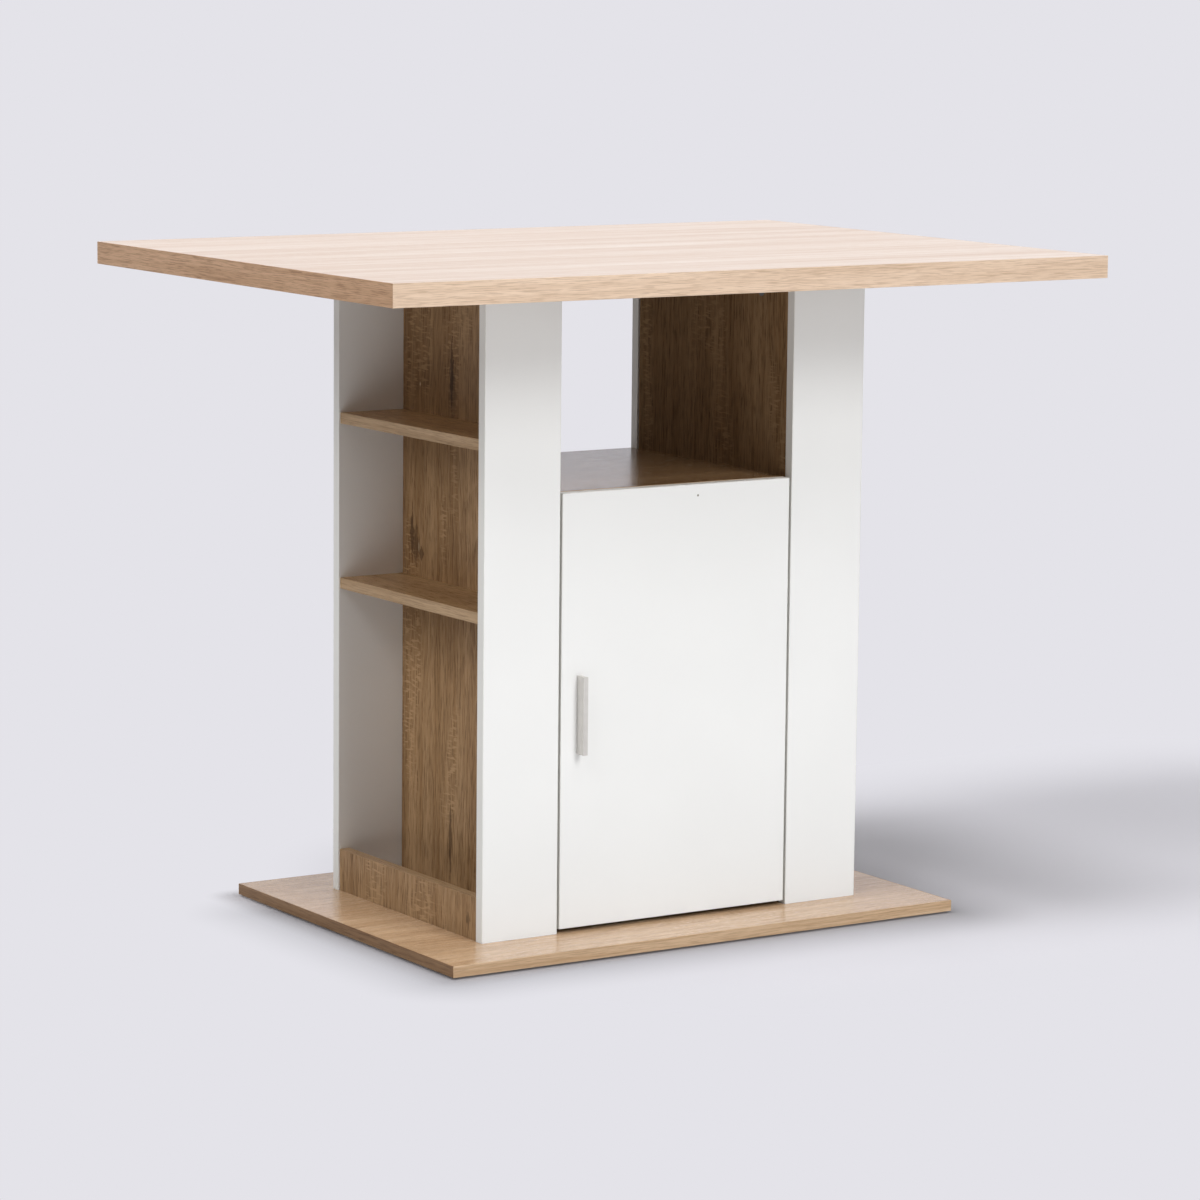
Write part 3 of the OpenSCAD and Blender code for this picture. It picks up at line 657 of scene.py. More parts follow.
def feed(tree, shader, colour_socket, group, depth):
    """Gives a shader a colour, and a group's roughness and its height as relief of a depth."""
    relief = {"Height": group.outputs["Height"], "Distance": depth, "Strength": 1.0}
    normal = place(tree, "ShaderNodeBump", relief).outputs[0]
    tree.links.new(colour_socket, shader.inputs["Base Color"])
    tree.links.new(group.outputs["Roughness"], shader.inputs["Roughness"])
    tree.links.new(normal, shader.inputs["Normal"])


def oak(name, turn, colours, contrast, rings, saw, flaws=(), gloss=0.15, roughness=0.3,
        fineness=(1.0, 1.0, 1.0), bounce=1.0):
    """Printed oak foil. A flaw is (place, length, width, colour, strength).

    The bounce is the share of its saturation that the light it throws on other boards keeps.
    """
    if name in bpy.data.materials:
        return bpy.data.materials[name]
    material, tree, shader = blank_material(name)
    point = object_point(tree, turn)
    light, middle, dark = [rgba(value) for value in colours]
    wood = group_node(tree, "Wood print", {
        "Vector": vector(tree, "MULTIPLY", point, fineness),
        "Light": light, "Middle": middle, "Dark": dark,
        "Contrast": contrast, "Rings": rings, "Saw marks": saw, "Roughness": roughness,
    })
    shown = wood.outputs["Color"]
    for spot, reach, width, flaw_colour, strength in flaws:
        flaw = group_node(tree, "Wood flaw", {
            "Vector": point, "Place": turned_place(spot, turn), "Length": reach, "Width": width,
        })
        amount = calc(tree, "MULTIPLY", flaw.outputs["Mask"], strength)
        shown = mixed(tree, amount, shown, rgba(flaw_colour))
    if bounce < 1:
        diffuse = tree.nodes.new("ShaderNodeLightPath").outputs["Is Diffuse Ray"]
        plain = place(tree, "ShaderNodeHueSaturation", {"Saturation": bounce, "Color": shown})
        shown = mixed(tree, diffuse, shown, plain.outputs[0])
    feed(tree, shader, shown, wood, OAK_RELIEF)
    shader.inputs["Specular IOR Level"].default_value = gloss
    return material


def top_oak():
    return oak(
        "Worktop oak", "x", tones("top"), contrast=0.3, rings=0.4, saw=0.4, gloss=0.3,
        roughness=0.35, fineness=(0.6, 0.8, 0.8), bounce=0.7,
    )


def base_oak(flaws):
    return oak(
        "Base oak", "x", tones("base"), contrast=0.6, rings=0.7, saw=0.8, flaws=flaws, gloss=0.8,
        roughness=0.2, bounce=0.35,
    )


def board_oak(turn, part="", factor=1.0, gloss=0.1, **looks):
    """Oak of the body's boards with the grain along the named axis, darker by the factor.

    The looks are any more of oak's own settings.
    """
    return oak(
        f"Board oak {turn}{part}", turn, tones("oak", factor=factor), contrast=0.8, rings=0.5,
        saw=1.5, gloss=gloss, **looks,
    )


def band_oak(turn, part):
    """Oak edging of a part with the grain along the named axis."""
    return oak(
        f"Edging oak {part} {turn}", turn, tones(EDGING_COLOURS[part], *EDGING_TONES_AND_END_SHADE[part][turn]),
        contrast=0.6, rings=0.1, saw=0.1, fineness=(0.9, 1.7, 1.7),
    )


def beech():
    f = finish_colours()
    return oak("Beech", "z", (f.beech, f.beech, f.band_dark), contrast=0.6, rings=0.1, saw=0.0)


def skin(name, base, shade, fineness, depth, gloss=0.5):
    """Coated board or moulded plastic.

    The fineness is the number of dimples to the metre. The shade is how much darker its clouds
    are, as a factor.
    """
    if name in bpy.data.materials:
        return bpy.data.materials[name]
    material, tree, shader = blank_material(name)
    group = group_node(tree, "Fine skin", {
        "Vector": object_point(tree, "x"), "Fineness": fineness,
        "Base": rgba(base), "Shade": rgba(darker(base, shade)),
    })
    feed(tree, shader, group.outputs["Color"], group, depth)
    shader.inputs["Specular IOR Level"].default_value = gloss
    return material


def white_board():
    return skin(
        "White coating", finish_colours().white, shade=0.985, fineness=1400, depth=COAT_RELIEF,
        gloss=0.4,
    )


def white_edging():
    return skin(
        "White edging", finish_colours().white_band, shade=0.97, fineness=700, depth=COAT_RELIEF
    )


def plastic(name, base):
    return skin(name, base, shade=0.85, fineness=900, depth=PLASTIC_RELIEF)


def metal(name, base, shade, roughness, turn, depth, metallic=1.0):
    """Bare or plated metal with drawn lines of a depth along the named axis.

    The shade is how much darker its clouds are, as a factor.
    """
    if name in bpy.data.materials:
        return bpy.data.materials[name]
    material, tree, shader = blank_material(name)
    group = group_node(tree, "Drawn metal", {
        "Vector": object_point(tree, turn), "Roughness": roughness,
        "Base": rgba(base), "Shade": rgba(darker(base, shade)),
    })
    feed(tree, shader, group.outputs["Color"], group, depth)
    shader.inputs["Metallic"].default_value = metallic
    return material


def zinc():
    return metal(
        "Plated zinc", finish_colours().zinc, shade=0.8, roughness=0.3, turn="x",
        depth=0.01 * MILLIMETRE,
    )


def cast_zinc():
    return metal(
        "Cast zinc", darker(finish_colours().zinc, factor=0.5), shade=0.8, roughness=0.7, turn="x",
        depth=0.02 * MILLIMETRE, metallic=0.2,
    )


def nickel():
    return metal(
        "Plated nickel", finish_colours().nickel, shade=0.85, roughness=0.2, turn="y",
        depth=0.008 * MILLIMETRE,
    )


def aluminium():
    return metal(
        "Satin aluminium", finish_colours().aluminium, shade=0.95, roughness=0.42, turn="z",
        depth=0.004 * MILLIMETRE, metallic=0.45,
    )


# Pieces


def quarter(count):
    """Angles from 0 to 90 degrees in even steps."""
    return np.linspace(0, math.pi / 2, count)


def each_solid(node, build, *details):
    """One surface of what the given function builds in the box of each solid of a node."""
    return joined([build(lo, hi, *details) for lo, hi in solid_boxes(node)])


def add_plate_bands(prefix, core, name, radius):
    """Two long and two short bands round a plate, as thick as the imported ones."""
    core_lo, core_hi = node_box(core)
    lo, hi = node_box(f"{prefix}_long_edge_bands")
    thick = core_lo[1] - lo[1]
    bands = {
        "long": ("x", (
            (lo, (hi[0], lo[1] + thick, hi[2])),
            ((lo[0], hi[1] - thick, lo[2]), hi),
        )),
        "short": ("y", (
            ((lo[0], core_lo[1], lo[2]), (core_lo[0], core_hi[1], hi[2])),
            ((core_hi[0], core_lo[1], lo[2]), (hi[0], core_hi[1], hi[2])),
        )),
    }
    for kind, (turn, boxes) in bands.items():
        surface = joined([soft_board(low, high, radius) for low, high in boxes])
        add_piece(
            f"{name}_{kind}_edging", surface, band_oak(turn, name), CARCASS,
            [f"{prefix}_{kind}_edge_bands"],
        )


class ISLAND_OT_worktop(Operator):
    """Dress the worktop and give it softly rounded edging"""

    bl_idname = "island.worktop"
    bl_label = "Worktop"

    def execute(self, context):
        dress("table_top", top_oak())
        add_plate_bands("top", "table_top", "worktop", context.scene.island_edges.band_round)
        return {"FINISHED"}


# Nail-in glides: height of the rounded foot, thickness of the disc and radius of the nail
GLIDE_FOOT = 1.2 * MILLIMETRE
GLIDE_DISC = 3 * MILLIMETRE
NAIL_RADIUS = 1 * MILLIMETRE


def glide_surface(lo, hi):
    """A nail-in glide: a disc whose foot is rounded in a quarter circle, and its nail."""
    middle = (lo + hi) / 2
    radius = (hi[0] - lo[0]) / 2
    reach = hi[2] - lo[2]
    arc = quarter(count=6)
    foot = radius - GLIDE_FOOT * (1 - np.sin(arc))
    radii = [0, *foot, radius, NAIL_RADIUS, NAIL_RADIUS, 0]
    heights = [0, *GLIDE_FOOT * (1 - np.cos(arc)), GLIDE_DISC, GLIDE_DISC, reach, reach]
    return turned(radii, heights, (middle[0], middle[1], lo[2]), (0, 0, 1))


class ISLAND_OT_base(Operator):
    """Dress the base plate and build its edging and its glides"""

    bl_idname = "island.base"
    bl_label = "Base plate"

    def execute(self, context):
        f = finish_colours()
        _, hi = node_box("base_plate")
        # Printed figures that show before the door
        figures = [
            ((-0.085, -0.178, hi[2]), 0.05, 0.012, f.fleck, 0.7),
            ((-0.045, -0.186, hi[2]), 0.03, 0.006, f.fleck, 0.8),
            ((0.060, -0.166, hi[2]), 0.05, 0.004, f.knot, 0.45),
            ((0.020, -0.178, hi[2]), 0.04, 0.005, f.knot, 0.3),
        ]
        dress("base_plate", base_oak(figures))
        add_plate_bands("base", "base_plate", "base", context.scene.island_edges.band_round)
        add_piece(
            "glides", each_solid("floor_glides", glide_surface),
            plastic("Glide plastic", f.glide), CARCASS, ["floor_glides"],
        )
        return {"FINISHED"}


def edged_board(name, edging_name, node, body, edges, all_round=False):
    """A white board in the place of a packed one, with edging on both sides or all round.

    The board and its edging are two pieces, and the board is returned.
    """
    lo, hi = node_box(node)
    band = edges.white_band_t
    inset = np.array([band, 0, band if all_round else 0])
    core_lo, core_hi = lo + inset, hi - inset
    board = add_piece(
        name, soft_board(core_lo, core_hi, edges.board_round), white_board(), body, [node],
    )
    boxes = [
        (lo, (core_lo[0], hi[1], hi[2])),
        ((core_hi[0], lo[1], lo[2]), hi),
    ]
    if all_round:
        boxes += [
            ((core_lo[0], lo[1], lo[2]), (core_hi[0], hi[1], core_lo[2])),
            ((core_lo[0], lo[1], core_hi[2]), (core_hi[0], hi[1], hi[2])),
        ]
    bands = joined([soft_board(low, high, edges.white_round) for low, high in boxes])
    add_piece(edging_name, bands, white_edging(), body, [])
    return board


class ISLAND_OT_uprights(Operator):
    """Build the four white upright strips"""

    bl_idname = "island.uprights"
    bl_label = "White uprights"

    def execute(self, context):
        for end in ("front", "back"):
            for side in ("left", "right"):
                name = f"{end}_{side}_upright"
                edged_board(
                    name, f"{name}_edging", f"{end}_{side}_stile", CARCASS,
                    context.scene.island_edges,
                )
        return {"FINISHED"}


class ISLAND_OT_side_panels(Operator):
    """Dress the two oak side panels"""

    bl_idname = "island.side_panels"
    bl_label = "Side panels"

    def execute(self, context):
        f = finish_colours()
        lo, _ = node_box("left_side_panel")
        # Printed crack, knots and flecks of the left panel's outer face
        figures = [
            ((lo[0], 0.054, 0.735), 0.060, 0.0060, f.knot, 0.7),
            ((lo[0], 0.051, 0.705), 0.050, 0.0110, f.knot, 0.4),
            ((lo[0], 0.146, 0.492), 0.030, 0.012, f.knot, 0.55),
            ((lo[0], 0.157, 0.510), 0.040, 0.006, f.knot, 0.7),
            ((lo[0], 0.132, 0.483), 0.012, 0.007, f.knot, 0.6),
            ((lo[0], 0.139, 0.491), 0.014, 0.002, f.fleck, 0.35),
            ((lo[0], 0.137, 0.714), 0.005, 0.0018, f.fleck, 0.8),
            ((lo[0], 0.052, 0.100), 0.070, 0.0045, f.knot, 0.6),
        ]
        dress("left_side_panel", board_oak("z", " left", flaws=figures))
        # The right panel's oak is darker than the left's by the factor: painted shade of the dark
        # compartment that it walls
        dull_shaded_oak = board_oak("z", " right", factor=0.72, gloss=0.02, roughness=0.5, bounce=0.35)
        dress("right_side_panel", dull_shaded_oak)
        return {"FINISHED"}


# Thickness of the edging on the upper edge of a foot rail
RAIL_BAND = 1 * MILLIMETRE


class ISLAND_OT_niches(Operator):
    """Dress the niche shelves and build the rails and all shelves' edging"""

    bl_idname = "island.niches"
    bl_label = "Niches"

    def execute(self, context):
        edges = context.scene.island_edges
        for side in ("left", "right"):
            for level in ("upper", "lower"):
                dress(f"{side}_{level}_shelf", board_oak("y"))
            lo, hi = node_box(f"{side}_rail")
            knot = ((lo[0], -0.160, 0.042), 0.012, 0.006, finish_colours().knot, 0.5)
            figures = [knot] if side == "left" else []
            core_hi = hi - (0, 0, RAIL_BAND)
            add_piece(
                f"{side}_foot_rail", soft_board(lo, core_hi, edges.board_round),
                board_oak("z", f" {side} rail", flaws=figures), CARCASS, [f"{side}_rail"],
            )
            add_piece(
                f"{side}_foot_rail_edging",
                soft_board((lo[0], lo[1], core_hi[2]), hi, edges.band_round),
                band_oak("y", "body"), CARCASS, [],
            )
        bands = {"x": [], "y": []}
        for lo, hi in solid_boxes("shelf_edge_bands"):
            turn = "x" if hi[0] - lo[0] > hi[1] - lo[1] else "y"
            bands[turn].append(soft_board(lo, hi, edges.band_round))
        add_piece(
            "niche_shelf_edging", joined(bands["y"]), band_oak("y", "body"), CARCASS,
            ["shelf_edge_bands"],
        )
        add_piece(
            "cabinet_edging", joined(bands["x"]), band_oak("x", "body"), CARCASS, [],
        )
        return {"FINISHED"}


class ISLAND_OT_cabinet(Operator):
    """Dress the cabinet's top, back and inner shelf"""

    bl_idname = "island.cabinet"
    bl_label = "Cabinet"

    def execute(self, context):
        # The cabinet's top, the compartment's floor, is darker than the other oak boards by the
        # factor: painted shade of the compartment
        smooth = board_oak("x", " smooth", factor=0.76, gloss=0.9, roughness=0.15, bounce=0.35)
        dress("cabinet_top", smooth)
        dress("cabinet_shelf", board_oak("x"))
        dress("cabinet_back", white_board())
        return {"FINISHED"}


# Cup hinges: length of the flange at whose outer end the cup lies, radius of the cup's hole, and
# how much deeper than the cup the hole is
FLANGE_LENGTH = 37 * MILLIMETRE
CUP_HOLE_RADIUS = 17.6 * MILLIMETRE
CUP_HOLE_FREE = 0.1 * MILLIMETRE
# How far before the board's face a cutter starts
CUTTER_MARGIN = 1 * MILLIMETRE


def cut_round_holes(piece, holes, material):
    """Cuts round holes, each given as (origin, direction, radius, depth), into a piece.

    Their walls get the given material.
    """
    cutters = []
    for origin, direction, radius, depth in holes:
        heights = [-CUTTER_MARGIN, -CUTTER_MARGIN, depth, depth]
        radii = [0, radius, radius, 0]
        cutters.append(turned(radii, heights, origin, direction, turns=48, soft=False))
    points, faces, _ = welded(*joined(cutters))
    mesh = new_mesh("holes", points, faces, material)
    cutter = add_object("holes", mesh)
    modifier = piece.modifiers.new("holes", "BOOLEAN")
    modifier.operation = "DIFFERENCE"
    modifier.solver = "EXACT"
    modifier.material_mode = "TRANSFER"
    modifier.object = cutter
    bpy.context.view_layer.update()
    depsgraph = bpy.context.evaluated_depsgraph_get()
    cut = bpy.data.meshes.new_from_object(piece.evaluated_get(depsgraph))
    cut.name = piece.name
    piece.modifiers.clear()
    piece.data = cut
    bpy.data.objects.remove(cutter)
    bpy.data.meshes.remove(mesh)


class ISLAND_OT_door(Operator):
    """Build the white door with its edging, its cup holes and the small drill mark"""

    bl_idname = "island.door"
    bl_label = "Door"

    def execute(self, context):
        scene = context.scene
        leaf = edged_board(
            "door_board", "door_edging", "door", DOOR_LEAF, scene.island_edges, all_round=True
        )
        lo, hi = node_box("door")
        mark = scene.island_fittings
        mark_place = ((lo[0] + hi[0]) / 2 + mark.mark_x, lo[1], hi[2] - mark.mark_drop)
        holes = [(mark_place, (0, 1, 0), mark.mark_d / 2, mark.mark_depth)]
        for level in ("upper", "lower"):
            cup_lo, cup_hi = node_box(f"{level}_hinge_cup")
            centre = (cup_hi[0] - FLANGE_LENGTH / 2, hi[1], (cup_lo[2] + cup_hi[2]) / 2)
            depth = hi[1] - cup_lo[1] + CUP_HOLE_FREE
            holes.append((centre, (0, -1, 0), CUP_HOLE_RADIUS, depth))
        cut_round_holes(leaf, holes, plastic("Bare board", finish_colours().bare))
        return {"FINISHED"}


def handle_outline(width, out, fittings):
    """Outline of the handle's section: its half widths at distances from the door.

    From the door outwards the half width is w / 2, less the hollow, which is a circle of its
    own radius cut into the side, and at the front it ends in a quarter circle.
    """
    half = width / 2
    radius = fittings.handle_round
    hollow_r = fittings.handle_neck_round
    depth = fittings.handle_neck_depth
    reach = math.sqrt(hollow_r ** 2 - (hollow_r - depth) ** 2)
    swing = math.asin(reach / hollow_r)
    arc = np.linspace(-swing, swing, num=20)
    hollow_out = fittings.handle_neck_out + hollow_r * np.sin(arc)
    hollow_half = half - depth + hollow_r * (1 - np.cos(arc))
    corner = quarter(count=10)
    corner_out = out - radius + radius * np.sin(corner)
    corner_half = half - radius + radius * np.cos(corner)
    outs = np.concatenate([[0], hollow_out, corner_out])
    halves = np.concatenate([[half], hollow_half, corner_half])
    return outs, halves


def handle_surface(lo, hi, fittings):
    """The section carried along the handle, drawn in at both ends in a quarter circle.

    At height z the half width is that of the section less r * (1 - sin a), and z is the end
    plus r * (1 - cos a), for a from 0 to 90 degrees, with r the radius of the end's edges.
    """
    middle = (lo[0] + hi[0]) / 2
    outs, halves = handle_outline(hi[0] - lo[0], hi[1] - lo[1], fittings)
    radius = fittings.handle_round
    angle = quarter(count=5)
    inset = radius * (1 - np.sin(angle))
    rise = radius * (1 - np.cos(angle))
    insets = np.concatenate([inset, inset[::-1]])
    levels = np.concatenate([lo[2] + rise, (hi[2] - rise)[::-1]])
    half = halves[None, :] - insets[:, None]
    out = np.minimum(outs[None, :], (hi[1] - lo[1]) - insets[:, None])
    section_x = np.concatenate([middle - half, (middle + half)[:, ::-1]], axis=1)
    section_y = np.concatenate([hi[1] - out, (hi[1] - out)[:, ::-1]], axis=1)
    section_z = np.broadcast_to(levels[:, None], section_x.shape)
    points = np.stack([section_x, section_y, section_z], axis=-1)
    points = np.concatenate([points, points[:, :1]], axis=1)
    rows, columns = points.shape[:2]
    walls = grid_quads(rows, columns)
    # Each end is closed by quads between the left and the right half of its outline
    left = np.arange(len(outs) - 1)
    right = 2 * len(outs) - 1 - left
    cap = np.stack([left, left + 1, right - 1, right], axis=-1)
    quads = np.concatenate([walls, cap, cap[:, ::-1] + (rows - 1) * columns])
    soft = np.arange(len(quads)) < len(walls)
    return points.reshape(-1, 3), quads, soft


class ISLAND_OT_handle(Operator):
    """Build the satin aluminium handle"""

    bl_idname = "island.handle"
    bl_label = "Handle"

    def execute(self, context):
        lo, hi = node_box("handle")
        surface = handle_surface(lo, hi, context.scene.island_fittings)
        add_piece("bar_handle", surface, aluminium(), DOOR_LEAF, ["handle"])
        return {"FINISHED"}


# Screw heads. Parts of the head's radius: where the dome ends, and the cross's half width, half
# length and soft edge. Parts of the head's height: the dome's fall, the rim and the cross's depth.
DOME_END = 0.98
CROSS_WIDTH = 0.11
CROSS_LENGTH = 0.56
CROSS_EDGE = 0.10
DOME_FALL = 0.35
RIM = 0.15
CROSS_DEPTH = 0.75

# Nodes of screws: the axis along which they lie, the side of it that the head faces, the head's
# height, the shank's diameter, and the body that they ride on
SCREWS = {
    "hinge_plate_screws": (0, -1, 1.5 * MILLIMETRE, 6 * MILLIMETRE, CARCASS),
    "hinge_arm_screws": (0, -1, 2 * MILLIMETRE, 5 * MILLIMETRE, CARCASS),
    "hinge_cup_screws": (1, 1, 1.6 * MILLIMETRE, 3.5 * MILLIMETRE, DOOR_LEAF),
    "handle_screws": (1, 1, 2.4 * MILLIMETRE, 4 * MILLIMETRE, DOOR_LEAF),
}


def screw_surface(lo, hi, axis, outward, head_h, shank_d):
    """A screw along axis 0 or 1 whose domed head has a cross cut into it.

    The head's height at radius r is h * (1 - fall * (r / R) ** 2), less the cross: a depth that
    eases in where either coordinate in the head's plane is within the cross's half width and
    the other within its half length.
    """
    across = 1 - axis
    radius = (hi[across] - lo[across]) / 2
    reach = hi[axis] - lo[axis]
    origin = (lo + hi) / 2
    origin[axis] = (hi[axis] if outward > 0 else lo[axis]) - outward * head_h
    direction = np.zeros(3)
    direction[axis] = outward

    def within(distance, limit):
        return np.clip((limit - distance) / CROSS_EDGE + 0.5, 0, 1)

    turns = 48
    angle = np.linspace(0, 2 * math.pi, turns + 1)
    r = np.linspace(0, DOME_END, num=16)
    x = np.abs(r[:, None] * np.cos(angle))
    y = np.abs(r[:, None] * np.sin(angle))
    cross = np.maximum(
        within(x, CROSS_WIDTH) * within(y, CROSS_LENGTH),
        within(y, CROSS_WIDTH) * within(x, CROSS_LENGTH),
    )
    head = head_h * (1 - DOME_FALL * r[:, None] ** 2 - CROSS_DEPTH * cross)
    shank = shank_d / 2
    radii = [*r * radius, radius, radius, shank, shank, 0]
    below = np.array([head[-1, 0] - RIM * head_h, 0, 0, head_h - reach, head_h - reach])
    heights = np.concatenate([head, np.repeat(below[:, None], turns + 1, axis=1)])
    return turned(radii, heights, origin, direction, turns)


def bumper_surface(lo, hi):
    """A soft bumper: a flat foot and a dome whose section is half an ellipse."""
    middle = (lo + hi) / 2
    radius = (hi[0] - lo[0]) / 2
    tall = hi[1] - lo[1]
    foot = 0.3 * tall
    arc = quarter(count=10)
    radii = [0, radius, *radius * np.cos(arc)]
    heights = [0, 0, *foot + (tall - foot) * np.sin(arc)]
    return turned(radii, heights, (middle[0], lo[1], middle[2]), (0, 1, 0))


class ISLAND_OT_hinges(Operator):
    """Dress the hinges and build their screws, the handle's screws and the bumpers"""

    bl_idname = "island.hinges"
    bl_label = "Hinges and screws"

    def execute(self, context):
        for level in ("upper", "lower"):
            for part in ("plate", "arm", "cup"):
                dress(f"{level}_hinge_{part}", nickel())
        dress("hinge_pins", zinc())
        for node, (*details, body) in SCREWS.items():
            screws = each_solid(node, screw_surface, *details)
            add_piece(f"{node}_set", screws, zinc(), body, [node])
        add_piece(
            "bumpers", each_solid("door_bumpers", bumper_surface),
            plastic("Bumper plastic", finish_colours().bumper), DOOR_LEAF, ["door_bumpers"],
        )
        return {"FINISHED"}


# Radius of the rounded ends of a shelf pin
PIN_ROUND = 0.5 * MILLIMETRE


def shelf_pin_surface(lo, hi):
    """A shelf pin along X, from the panel inwards, with rounded ends."""
    inward = -1 if lo[0] > 0 else 1
    radius = (hi[2] - lo[2]) / 2
    reach = hi[0] - lo[0]
    start = hi[0] if inward < 0 else lo[0]
    arc = quarter(count=4)
    head = radius - PIN_ROUND + PIN_ROUND * np.sin(arc)
    head_at = PIN_ROUND - PIN_ROUND * np.cos(arc)
    radii = [0, *head, *head[::-1], 0]
    heights = [0, *head_at, *(reach - head_at)[::-1], reach]
    origin = (start, (lo[1] + hi[1]) / 2, (lo[2] + hi[2]) / 2)
    return turned(radii, heights, origin, (inward, 0, 0), turns=24)


class ISLAND_OT_fasteners(Operator):
    """Dress the dowels, cams, bolts and screws, and build the shelf pins"""

    bl_idname = "island.fasteners"
    bl_label = "Fasteners"

    def execute(self, context):
        dress("dowels", beech())
        dress("cam_housings", cast_zinc())
        for node in ("cam_bolts", "base_screws"):
            dress(node, zinc())
        pins = each_solid("shelf_pins", shelf_pin_surface)
        add_piece("shelf_supports", pins, zinc(), CARCASS, ["shelf_pins"])
        return {"FINISHED"}


# Stage

# Half the side of the floor, the width of the camera's sensor in millimetres, and how far the
# camera sees
FLOOR_HALF = 40.0
SENSOR_WIDTH = 36
SIGHT_END = 200
# The part of the floor that takes shadows besides that under the base plate, as the middle and
# the half lengths of a rectangle, and the distance outside it over which it becomes the backdrop
SHADOW_MIDDLE = (0.70, -0.03, 0.0)
SHADOW_HALF = (0.62, 0.27, 1.0)
SHADOW_FADE = 0.42
PLATE_FADE = 0.05
# The painted shade on the floor round the base plate, a soft contact shadow: its reach, its
# strength at the plate, the power with which it fades, and how far it stays short of the plate's
# back edge
SHADE_REACH = 0.14
SHADE_DEPTH = 0.40
SHADE_POWER = 1.7
SHADE_SHORT = 0.12
# The glow of the floor: the places between which it sets in, along Y before the object and along
# X on its left, and the distances between which the wide and the near glow set in
GLOW_FRONT = (-0.2, -0.8)
GLOW_LEFT = (-0.3, -0.9)
GLOW_WIDE = (5.0, 2.5)
GLOW_NEAR = (2.4, 1.1)

# Lamps: name, setting of its strength, direction towards the lamp as azimuth from the front
# (positive to the right) and elevation, and angular size, in degrees
LAMPS = (
    ("front_level", "front_level", 15, 12, 24),
    ("front", "front", 10, 34, 24),
    ("front_high", "front_high", 3, 62, 30),
    ("left_low", "left", -90, 28, 20),
    ("left_middle", "left", -90, 42, 18),
    ("left_front", "left", -60, 45, 20),
    ("overhead", "overhead", -90, 78, 20),
    ("back", "back", 180, 9, 16),
    ("right", "right", 90, 10, 18),
)


def beyond(tree, point, middle, half):
    """Distance over the floor of a point to an upright box, which is 0 inside it."""
    flat = vector(tree, "MULTIPLY", vector(tree, "SUBTRACT", point, tuple(middle)), (1, 1, 0))
    outside = vector(tree, "SUBTRACT", vector(tree, "ABSOLUTE", flat), tuple(half))
    return vector(tree, "LENGTH", vector(tree, "MAXIMUM", outside, (0, 0, 0)), output="Value")


def painted_floor_shade(tree, point, lo, hi):
    """Painted shade of the floor round a plate: 1 - depth * (1 - d / reach) ** power at distance d.
    """
    back = hi - (0, SHADE_SHORT, 0)
    distance = beyond(tree, point, (lo + back) / 2, (back - lo) / 2)
    left = calc(tree, "MULTIPLY_ADD", distance, -1 / SHADE_REACH, 1.0, clamped=True)
    shade = calc(tree, "POWER", left, SHADE_POWER)
    return calc(tree, "MULTIPLY_ADD", shade, -SHADE_DEPTH, 1.0)


def floor_glow(tree, point, settings):
    """Glow of the floor: one level far away, and more near the object, in front and on the left."""
    parts = place(tree, "ShaderNodeSeparateXYZ", {0: point}).outputs
    before = ramp(tree, parts[1], *GLOW_FRONT)
    aside = ramp(tree, parts[0], *GLOW_LEFT)
    aside = calc(tree, "MULTIPLY", aside, calc(tree, "SUBTRACT", 1.0, before))
    distance = vector(tree, "LENGTH", point, output="Value")
    wide = calc(tree, "MULTIPLY", before, ramp(tree, distance, *GLOW_WIDE))
    near = ramp(tree, distance, *GLOW_NEAR)
    glow = calc(tree, "MULTIPLY_ADD", aside, settings.glow_left, settings.glow_round)
    glow = calc(tree, "MULTIPLY_ADD", glow, near, settings.far)
    return calc(tree, "MULTIPLY_ADD", wide, settings.glow_front, glow)


def seen_directly(tree):
    """1 for what the camera and reflections see, and 0 for the light that surfaces get."""
    path = tree.nodes.new("ShaderNodeLightPath").outputs
    return calc(tree, "ADD", path["Is Camera Ray"], path["Is Glossy Ray"])


def emission(tree, value, strength):
    """Even light of a colour, which needs no lamp."""
    values = {"Color": rgba(value), "Strength": strength}
    return place(tree, "ShaderNodeEmission", values).outputs[0]


def shaders_mixed(tree, amount, first, second):
    """The first shader where the amount is 0, and the second where it is 1."""
    return place(tree, "ShaderNodeMixShader", {0: amount, 1: first, 2: second}).outputs[0]


def floor_material(settings):
    """A floor that takes shadows near the object and fades into the backdrop further away.

    The camera and reflections see that. What other surfaces get from it is the even glow of a
    white studio floor, strongest before the object.
    """
    material, tree, shader = blank_material("Floor")
    shader.inputs["Roughness"].default_value = 1.0
    shader.inputs["Specular IOR Level"].default_value = 0.0
    point = tree.nodes.new("ShaderNodeTexCoord").outputs["Object"]
    lo, hi = node_box("base_plate")
    # The painted shade round the base plate, a soft contact shadow, darkens both the floor and the
    # backdrop shown there
    tone = painted_floor_shade(tree, point, lo, hi)
    near = mixed(tree, tone, rgba((0, 0, 0)), rgba(settings.floor))
    tree.links.new(near, shader.inputs["Base Color"])
    lit = ramp(tree, beyond(tree, point, SHADOW_MIDDLE, SHADOW_HALF), 0.0, SHADOW_FADE)
    beside = ramp(tree, beyond(tree, point, (lo + hi) / 2, (hi - lo) / 2), 0.0, PLATE_FADE)
    backdrop = emission(tree, settings.backdrop, tone)
    amount = calc(tree, "MINIMUM", lit, beside)
    shown = shaders_mixed(tree, amount, shader.outputs[0], backdrop)
    glow = emission(tree, (1, 1, 1), floor_glow(tree, point, settings))
    result = shaders_mixed(tree, seen_directly(tree), glow, shown)
    tree.links.new(result, tree.nodes["Material Output"].inputs["Surface"])
    return material


def add_floor(settings):
    corners = np.array([[-1, -1, 0], [1, -1, 0], [1, 1, 0], [-1, 1, 0]]) * FLOOR_HALF
    mesh = new_mesh("floor", corners, [[0, 1, 2, 3]], floor_material(settings))
    floor = add_object("floor", mesh)


